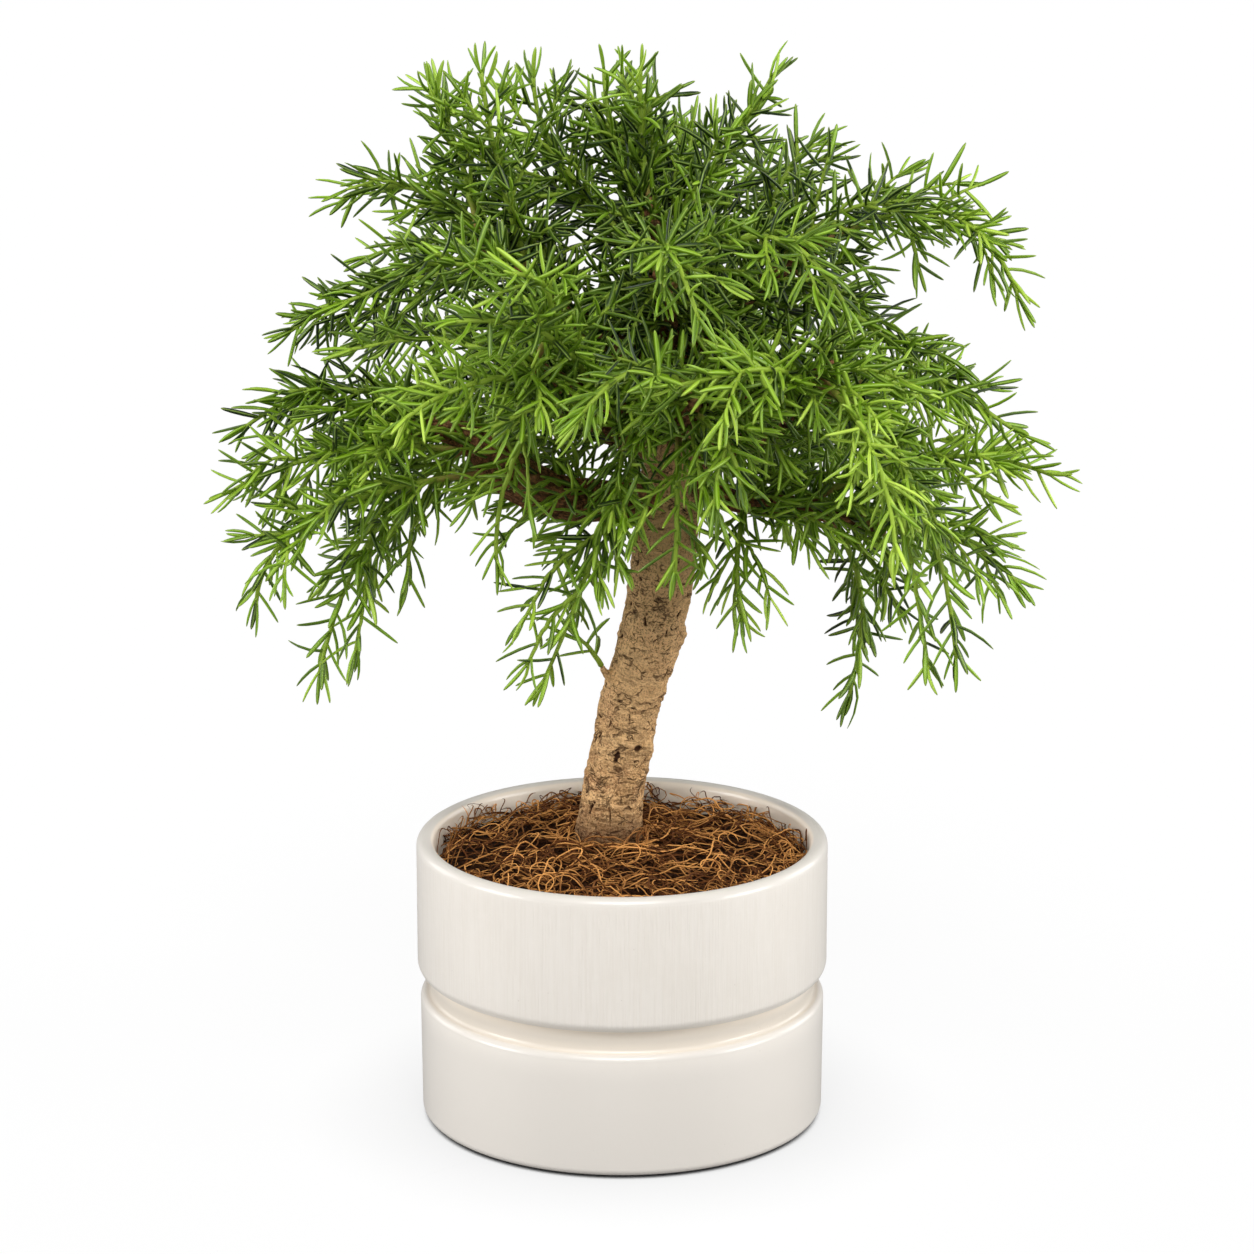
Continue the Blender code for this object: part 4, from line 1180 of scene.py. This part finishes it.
class BONSAI_OT_wood(Operator):
    """Grow the trunk, limbs and roots as one piece, and carve the bark into it"""

    bl_idname = "bonsai.wood"
    bl_label = "Trunk and Limbs"

    def execute(self, context):
        wood = context.scene.bonsai.wood
        lengths = [smooth_path(stations, 4) for stations in (TRUNK, *LIMBS.values(), *ROOTS, *STUBS)]
        grown = [tubes(f"length_{number}", [path], 3) for number, path in enumerate(lengths)]
        activate(*grown)
        bpy.ops.object.join()
        piece = bpy.context.object
        piece.name = piece.data.name = "trunk_and_limbs"
        modify(piece, "REMESH", mode="VOXEL", voxel_size=WOOD_GRAIN * MM, use_smooth_shade=True)
        modify(piece, "SMOOTH", factor=0.5, iterations=5)
        self.carve(piece, lengths, wood)
        soften(piece, 75)
        dress(piece, bark_finish(wood))
        enlist(piece, "bark", "trunk")
        return {"FINISHED"}

    def carve(self, piece, lengths, wood):
        """Moves the surface in and out for the bark's lumps, wrinkles, cracks and scars."""
        rows = coordinates(piece) / MM
        normals = coordinates(piece, "normal")
        limb, turn, radius, course = self.bark_places(rows, lengths)
        depth = wood.depth / MM
        on_trunk = 1 - limb
        thick = np.clip(radius / 12, 0.3, 1)
        low = np.clip((175 - rows[:, 2]) / 60, 0, 1) * on_trunk
        broad = lumps(rows, 16, 21) * 0.8 + lumps(rows, 6, 22) * 0.38
        wrinkles = lumps(course * (0.3, 0.3, 1), 2.1, 23) * np.clip(lumps(rows, 14, 24) * 2 + 0.5 + low, 0, 1)
        ridges = lumps(course * (1, 1, 0.22), 2.6, 25)
        seams = np.abs(lumps(course * (1, 1, 0.3), 5.5, 26))
        cracks = np.clip(1 - seams / 0.08, 0, 1) * np.clip(lumps(rows, 8, 27) * 3 - 0.6, 0, 1)
        ledges = np.abs(lumps(course * (0.35, 0.35, 1), 5.0, 28))
        steps = np.clip(1 - ledges / 0.07, 0, 1) * np.clip(lumps(rows, 7, 29) * 3 - 0.7, 0, 1)
        pits, rims = self.scars(rows[:, 2], turn, radius, limb)
        move = broad * thick + wrinkles * 0.8 * on_trunk + ridges * (0.2 + 0.34 * limb) * thick
        move -= cracks * depth * 0.5 * thick + steps * depth * 0.3 * thick + pits * depth
        move += rims * 0.6
        rows += normals * move[:, None]
        move_to(piece, rows * MM)
        store(piece, "limb", limb)
        store(piece, "crack", np.clip(cracks * 0.7 + steps * 0.4 + pits * 1.2 - rims * 0.3, 0, 1))
        store(piece, "raised", np.clip(rims * 0.8 + broad * 0.5, 0, 1))
        store(piece, "course", course)

    def bark_places(self, rows, lengths):
        """Where each point is on the wood.

        Gives how far it is onto a limb (0 to 1), how far round the wood it is from the front (radians), the
        wood's radius there, and its place in the wood's own straightened length, in millimetres.
        """
        best = np.full(len(rows), np.inf)
        limb, turn, radius = np.zeros((3, len(rows)))
        course = np.zeros((len(rows), 3))
        upper = np.clip((rows[:, 2] - 275) / 50, 0, 1)
        for number, path in enumerate(lengths[: 1 + len(LIMBS)]):
            run = np.concatenate([[0], np.cumsum(np.linalg.norm(np.diff(path[:, :3], axis=0), axis=1))])
            for part in np.array_split(np.arange(len(rows)), max(1, len(rows) // 20000)):
                gap = np.linalg.norm(rows[part, None] - path[None, :, :3], axis=2) / path[None, :, 3]
                nearest = gap.argmin(axis=1)
                least = gap[np.arange(len(part)), nearest]
                closer = least < best[part]
                chosen, spot = part[closer], nearest[closer]
                best[chosen] = least[closer]
                away = rows[chosen] - path[spot, :3]
                tangent = np.gradient(path[:, :3], axis=0)[spot]
                tangent /= np.linalg.norm(tangent, axis=1)[:, None]
                side = np.cross(tangent, (0.12, -1, 0.2) if number == 0 else (0, 0, 1))
                side /= np.linalg.norm(side, axis=1)[:, None]
                front = np.cross(side, tangent)
                right, ahead, up = ((away * axis).sum(axis=1) for axis in (side, front, tangent))
                limb[chosen] = upper[chosen] if number == 0 else 1
                turn[chosen] = np.arctan2(right, ahead)
                radius[chosen] = path[spot, 3]
                course[chosen] = np.column_stack([right, ahead, run[spot] + up + LIMB_COURSE * number])
        return limb, turn, radius, course

    def scars(self, height, turn, radius, limb):
        """Lens-shaped scars with a raised lip, and small round pits: their depth and lip, 0 to 1."""
        draw = np.random.default_rng(SCAR_SEED)
        rows = [(z, math.asin(share), *rest) for z, share, *rest in SCARS]
        for number in range(SMALL_SCARS):
            long, wide = draw.uniform(1.4, 3.6), draw.uniform(0.6, 1.2)
            if number % 2:
                long, wide = wide, long * 1.6
            side = draw.uniform(0.3 * math.pi, 1.7 * math.pi)
            rows.append((draw.uniform(118, 262), side - math.tau * (side > math.pi), long, wide,
                         draw.normal(0, 0.3), draw.uniform(0.4, 0.9)))
        pits, rims = np.zeros(len(height)), np.zeros(len(height))
        for middle, side, long, wide, lean, depth in rows:
            down = height - middle
            over = ((turn - side + math.pi) % math.tau - math.pi) * radius
            down, over = down + over * lean, over - down * lean
            gap = np.sqrt((down / long) ** 2 + (over / wide) ** 2) * 2
            reach = (limb < 0.5) * (np.abs(over) < SCAR_SPAN)
            lip = np.exp(-(((gap - 2) / 0.5) ** 2)) * (over < 0.2 * wide)
            pits = np.maximum(pits, np.clip(1.5 - gap, 0, 1) * depth * reach)
            rims = np.maximum(rims, lip * reach * depth * 0.7)
        return pits, rims


def needle_pattern(foliage):
    """One needle, modelled along +Y with its upper side up, as rows of points and faces.

    Also gives each point's place on it: along from 0 to 1 and across from -1 to 1.
    """
    needle = primitive(
        bpy.ops.mesh.primitive_cylinder_add, "needle_pattern", vertices=4, radius=0.5, depth=1,
        location=(0, 0.5, 0), rotation=(-math.pi / 2, 0, 0),
    )
    bpy.ops.object.mode_set(mode="EDIT")
    for share, _, _ in NEEDLE_SECTIONS[1:-1]:
        bpy.ops.mesh.select_all(action="SELECT")
        bpy.ops.mesh.bisect(plane_co=(0, share, 0), plane_no=(0, 1, 0))
    for share, width, thickness in NEEDLE_SECTIONS:
        choose(needle, lambda vertex: abs(vertex.co.y - share) < 0.001, "VERT")
        sizes = (width * foliage.width / MM, 1, thickness * NEEDLE_THICKNESS)
        bpy.ops.transform.resize(value=sizes, center_override=(0, share, 0))
    bpy.ops.object.mode_set(mode="OBJECT")
    rows = coordinates(needle)
    faces = [tuple(face.vertices) for face in needle.data.polygons]
    widest = np.abs(rows[:, 0]).max()
    across = np.sign(np.round(rows[:, 0], 4))
    place = np.column_stack([rows[:, 1], across * (np.abs(rows[:, 0]) > 0.02 * widest)])
    bpy.data.objects.remove(needle)
    return rows, faces, place


def arch_path(start, middle, end, step):
    """Rows along a smooth arch from start, through middle half way, to end."""
    start, middle, end = (np.array(point, float) for point in (start, middle, end))
    handle = 2 * middle - (start + end) / 2
    length = np.linalg.norm(middle - start) + np.linalg.norm(end - middle)
    t = np.linspace(0, 1, max(4, round(length / step)))[:, None]
    return start * (1 - t) ** 2 + handle * 2 * t * (1 - t) + end * t**2


def unit(vector):
    return vector / np.linalg.norm(vector)


class Spray:
    """One shoot as it grows: its stems, and the needles on them."""

    def __init__(self, draw, foliage, tone):
        self.draw = draw
        self.foliage = foliage
        self.tone = tone
        self.stems = []
        self.ages = []
        self.needles = []

    def stem(self, path, foot, tip, age, bare, tone):
        """Adds a stem along the path, between two radii, and its needles past the bare share."""
        draw = self.draw
        count = len(path)
        share = np.linspace(0, 1, count)
        sway = draw.normal(0, 0.28, (count, 3)) * np.sin(np.pi * np.clip(share * 1.1, 0, 1))[:, None]
        path = path + sway
        self.stems.append(np.column_stack([path, foot + (tip - foot) * share]))
        self.ages.append(np.column_stack([age * (1 - share) ** 1.5, share, np.full(count, tone)]))
        run = np.concatenate([[0], np.cumsum(np.linalg.norm(np.diff(path, axis=0), axis=1))])
        length = run[-1]
        spacing = self.foliage.spacing / MM
        turn = draw.uniform(0, math.tau)
        spot = length * bare
        while spot < length:
            left = length - spot
            self.needle(path, run, spot, turn, left, tone, foot + (tip - foot) * spot / length)
            spot += spacing * draw.uniform(0.7, 1.3) * (0.75 if left < 6 else 1)
            turn += GOLDEN_TURN + draw.normal(0, 0.3)
        for _ in range(2):
            self.needle(path, run, length * 0.999, turn, 0, tone, tip)
            turn += GOLDEN_TURN

    def needle(self, path, run, spot, turn, left, tone, thick):
        """Adds a needle at a spot along a path, turned about it; left is how far on the stem's tip is."""
        draw = self.draw
        middle = np.array([np.interp(spot, run, path[:, axis]) for axis in range(3)])
        index = min(np.searchsorted(run, spot), len(path) - 1)
        forward = unit(path[index] - path[index - 1])
        side = unit(np.cross(forward, (0.31, 0.17, 0.93) if abs(forward[2]) < 0.9 else (1, 0, 0)))
        other = np.cross(forward, side)
        out = side * math.cos(turn) + other * math.sin(turn)
        lean = math.radians(draw.normal(61 + 10 * forward[2], 13))
        if left < 7:
            lean *= 0.4 + 0.6 * left / 7
        axis = forward * math.cos(lean) + out * math.sin(lean)
        axis = unit(axis + np.array((0, 0, 0.05)))
        across = np.cross(axis, out) if left < 2 else np.cross(forward, out) + 0.35 * draw.normal(0, 1, 3)
        across = unit(across)
        across = unit(across - axis * (across @ axis))
        up = np.cross(across, axis)
        length = self.foliage.length / MM * draw.uniform(0.8, 1.12)
        length *= 0.76 + 0.24 * min(1, left / 9)
        width = draw.uniform(0.85, 1.1) * (0.8 + 0.2 * min(1, left / 9))
        bend = draw.normal(0.09, 0.12)
        hook = draw.normal(0, 0.11)
        fresh_and_painted_light = tone + 0.13 * max(0, 1 - left / 14) + draw.normal(0, 0.18)
        near = np.interp(middle[0], FAR_LEFT, (0, 1))
        # Painted light and shade by height, and painted shade at the far left
        fresh_and_painted_light += np.interp(middle[2], *HEIGHT_LIGHT_AND_SHADE) * near + FAR_LEFT_SHADE * (1 - near)
        foot = middle + out * thick * 0.35
        if not self.left_out(middle, turn):
            self.needles.append((foot, across, axis, up, length, width, bend, hook, fresh_and_painted_light))

    def left_out(self, spot, turn):
        """Whether the needle at a spot is one of those that a thin place goes without."""
        x, y, z = spot
        seen = z + SEEN_LOWER * y
        return any(
            left < x < right and low < seen < high and y < back and turn % 1 < share
            for left, right, low, high, back, share in THIN_PLACES
        )

    def grow(self, start, middle, end, spacing):
        """The main stem, and the side twigs that fork from it in turn, on average a spacing apart."""
        draw = self.draw
        path = arch_path(start, middle, end, 3.2)[:-4]
        length = np.linalg.norm(np.diff(path, axis=0), axis=1).sum()
        self.stem(path, 1.5, 0.9, 1.0, 0.12, self.tone)
        hang = min(1, max(0, (start[2] - end[2]) / 90))
        count = max(3, round(length / spacing))
        turn = draw.uniform(0, math.tau)
        for number in range(count):
            share = 0.07 + (0.76 - 0.2 * hang) * (number + draw.uniform(0.2, 0.8)) / count
            index = int(share * (len(path) - 1))
            forward = unit(path[index + 1] - path[index])
            side = unit(np.cross(forward, (0, 0, 1)))
            rise = np.cross(side, forward)
            turn += math.pi + draw.normal(0, 0.7)
            out = side * math.cos(turn) + rise * (0.55 * math.sin(turn) + 0.03)
            reach = draw.uniform(0.6, 1.15) * (36 - 23 * share) * (1 - 0.3 * hang * share)
            tone = self.tone - 0.12 * (1 - share) + draw.normal(0.02, 0.1)
            self.twig(path[index], forward, out, reach, tone)

    def twig(self, foot, forward, out, reach, tone):
        """A side twig that leans away from its stem and droops a little."""
        draw = self.draw
        lean = math.radians(draw.uniform(38, 60))
        heading = unit(forward * math.cos(lean) + out * math.sin(lean))
        droop = np.array((0, 0, -reach * draw.uniform(-0.1, 0.38)))
        tip = foot + heading * reach * 0.95 + forward * reach * 0.1 + droop
        half = foot + heading * reach * 0.52 - droop * 0.05
        self.stem(arch_path(foot, half, tip, 3.0), 0.9, 0.6, 0.3, 0.06, tone)

    def clothe(self, stations, spacing, first, under):
        """Twigs all along a limb, from its first share on.

        under is how freely they grow from its lower side.
        """
        draw = self.draw
        path = smooth_path(stations, 2)[:, :3]
        count = int(len(path) * 2 / spacing)
        turn = draw.uniform(0, math.tau)
        for number in range(count):
            share = first + (0.97 - first) * (number + draw.uniform(0.1, 0.9)) / count
            index = int(share * (len(path) - 1))
            forward = unit(path[min(index + 1, len(path) - 1)] - path[index - 1])
            side = unit(np.cross(forward, (0.02, 0.01, 1)))
            rise = np.cross(side, forward)
            turn += GOLDEN_TURN + draw.normal(0, 0.3)
            lift = math.sin(turn)
            out = side * math.cos(turn) + rise * (lift if lift > 0 else under * lift)
            reach = draw.uniform(28, 46) * (1.05 - 0.25 * share)
            self.twig(path[index], forward, unit(out), reach, self.tone + draw.normal(0, 0.07))


class BONSAI_OT_shoots(Operator):
    """Grow every leafy shoot: its stem, its side twigs and the needles round them"""

    bl_idname = "bonsai.shoots"
    bl_label = "Leafy Shoots"

    def execute(self, context):
        settings = context.scene.bonsai
        foliage = settings.foliage
        pattern = needle_pattern(foliage)
        finishes = (stem_finish(foliage, settings.wood), needle_finish(foliage))

        def add_piece(name, spray, *nodes):
            piece = self.assemble(name, spray, pattern)
            dress(piece, *finishes)
            enlist(piece, "leafy_shoot", *nodes)

        for limb, rows in SHOOTS.items():
            for number, (start, middle, end) in enumerate(rows, 1):
                name = f"{limb}_{number}"
                draw = np.random.default_rng([ord(letter) for letter in name])
                tone = self.freshness_and_light(end, draw) + 0.2 * (name in NEW_SHOOTS)
                spray = Spray(draw, foliage, tone)
                spray.grow(start, middle, end, self.twig_spacing(name, end))
                add_piece(f"leaves_{name}", spray, f"shoot_{name}")
        spray = Spray(np.random.default_rng(SPRIG_SEED), foliage, SPRIG_TONE)
        for path, foot, tip, bare in SPRIGS:
            spray.stem(smooth_path(path, 2.4), foot, tip, 0.7, bare, spray.tone)
        add_piece("leaves_single_twigs", spray)
        for limb, stations in {"leader": LEADER, **LIMBS}.items():
            draw = np.random.default_rng([7, *(ord(letter) for letter in limb)])
            under, tone = INNER_LEAVES.get(limb, OTHER_INNER_LEAVES)
            spray = Spray(draw, foliage, tone)
            spray.clothe(stations, INNER_SPACING, BARE_LIMB, under)
            add_piece(f"inner_leaves_{limb}", spray)
        return {"FINISHED"}

    def twig_spacing(self, name, end):
        """How far apart a shoot's side twigs are."""
        if name in OPEN_SHOOTS:
            return OPEN_TWIGS
        if end[1] < FRONT_END:
            return FRONT_TWIGS
        return TOP_TWIGS if end[2] >= TOP_END else OTHER_TWIGS

    def freshness_and_light(self, end, draw):
        """How young a shoot is, 0 to 1, a little brighter to the outside, with painted light that makes
        shoots low in the middle brightest, against the crown's shade.
        """
        reach = math.dist(end, (20, 10, 340)) / 190
        low = max(0, min(1, (305 - end[2]) / 50)) * max(0, 1 - abs(end[0] - 15) / 110)
        return 0.19 + 0.12 * reach + 0.2 * low + draw.normal(0, 0.08)

    def assemble(self, name, spray, pattern):
        """One mesh of a spray's stems and needles, with two material slots in that order."""
        stems = tubes(name, spray.stems, 1, ("leaf", spray.ages))
        rows, faces, place = pattern
        points, spots, polygons = [], [], []
        for middle, across, axis, up, length, width, bend, hook, fresh_and_painted_light in spray.needles:
            curve = bend * length * rows[:, 1] ** 2 * 1.6
            swerve = hook * length * rows[:, 1] ** 2
            shape = middle + np.outer(rows[:, 0] * width + swerve, across)
            shape = shape + np.outer(rows[:, 1] * length, axis) + np.outer(rows[:, 2] - curve, up)
            first = len(points) * len(rows)
            polygons += [tuple(index + first for index in face) for face in faces]
            points.append(shape)
            spots.append(np.column_stack([place, np.full(len(rows), np.clip(fresh_and_painted_light, 0, 1))]))
        mesh = bpy.data.meshes.new(f"{name}_needles")
        mesh.from_pydata(np.vstack(points) * MM, [], polygons)
        mesh.shade_smooth()
        needles = bpy.data.objects.new(f"{name}_needles", mesh)
        bpy.context.scene.collection.objects.link(needles)
        store(needles, "leaf", np.vstack(spots))
        stem_faces = len(stems.data.polygons)
        activate(stems, needles)
        bpy.ops.object.join()
        slots = np.zeros(len(stems.data.polygons), np.int32)
        slots[stem_faces:] = 1
        for _ in range(2):
            stems.data.materials.append(None)
        stems.data.polygons.foreach_set("material_index", slots)
        return stems


class BONSAI_OT_stage(Operator):
    """Set the floor, the soft lights, the even daylight and the camera"""

    bl_idname = "bonsai.stage"
    bl_label = "Studio Stage"

    def execute(self, context):
        stage = context.scene.bonsai.stage
        floor = primitive(bpy.ops.mesh.primitive_plane_add, "studio_floor", size=FLOOR_SIZE)
        dress(floor, floor_finish(stage))
        for name, (setting, share, softness, place) in LIGHTS.items():
            self.light(name, getattr(stage, setting) * share, softness, place)
        world = bpy.data.worlds.new("daylight")
        world.use_nodes = True
        sky = world.node_tree.nodes["Background"]
        sky.inputs["Color"].default_value = (1, 1, 1, 1)
        sky.inputs["Strength"].default_value = stage.daylight
        context.scene.world = world
        self.camera(context, stage)
        context.scene.view_settings.view_transform = "Standard"
        return {"FINISHED"}

    def light(self, name, strength, softness, place):
        """A far light that shines from its place towards the origin.

        Strength is how bright it makes a white surface that faces it, and softness is how wide it looks, in
        degrees.
        """
        bpy.ops.object.light_add(type="SUN", location=place)
        lamp = bpy.context.object
        lamp.name = lamp.data.name = name
        lamp.data.energy = strength * math.pi
        lamp.data.angle = math.radians(softness)
        lamp.rotation_euler = (-Vector(place)).to_track_quat("-Z", "Y").to_euler()

    def camera(self, context, stage):
        target = Vector((stage.side, 0, stage.target))
        back = Vector((0, -math.cos(stage.elevation), math.sin(stage.elevation)))
        bpy.ops.object.camera_add(location=target + back * stage.distance)
        camera = bpy.context.object
        camera.name = camera.data.name = "front_view"
        camera.rotation_euler = (-back).to_track_quat("-Z", "Y").to_euler()
        camera.data.lens = stage.lens
        camera.data.sensor_width = 36
        camera.data.clip_start, camera.data.clip_end = 0.05, 60
        context.scene.camera = camera


class BONSAI_PT_sidebar(Panel):
    bl_label = "Potted Bonsai"
    bl_idname = "BONSAI_PT_sidebar"
    bl_space_type = "VIEW_3D"
    bl_region_type = "UI"
    bl_category = "Bonsai"

    def draw(self, context):
        settings = context.scene.bonsai
        groups = [
            (settings.pot, (BONSAI_OT_pot,)),
            (settings.fill, (BONSAI_OT_drainage, BONSAI_OT_coir)),
            (settings.wood, (BONSAI_OT_wood,)),
            (settings.foliage, (BONSAI_OT_shoots,)),
            (settings.stage, (BONSAI_OT_stage,)),
        ]
        for group, operators in groups:
            column = self.layout.column(align=True)
            for name in type(group).__annotations__:
                column.prop(group, name)
            for operator in operators:
                column.operator(operator.bl_idname)


GROUPS = (BonsaiPot, BonsaiFill, BonsaiWood, BonsaiFoliage, BonsaiStage, BonsaiSettings)
OPERATORS = (
    BONSAI_OT_pot, BONSAI_OT_drainage, BONSAI_OT_coir, BONSAI_OT_wood, BONSAI_OT_shoots, BONSAI_OT_stage,
)


def register():
    for item in (*GROUPS, *OPERATORS, BONSAI_PT_sidebar):
        bpy.utils.register_class(item)
    bpy.types.Scene.bonsai = PointerProperty(type=BonsaiSettings)


def unregister():
    del bpy.types.Scene.bonsai
    for item in reversed((*GROUPS, *OPERATORS, BONSAI_PT_sidebar)):
        bpy.utils.unregister_class(item)


def main():
    register()
    bpy.ops.bonsai.pot()
    bpy.ops.bonsai.drainage()
    bpy.ops.bonsai.coir()
    bpy.ops.bonsai.wood()
    bpy.ops.bonsai.shoots()
    bpy.ops.bonsai.stage()


if __name__ == "__main__":
    main()
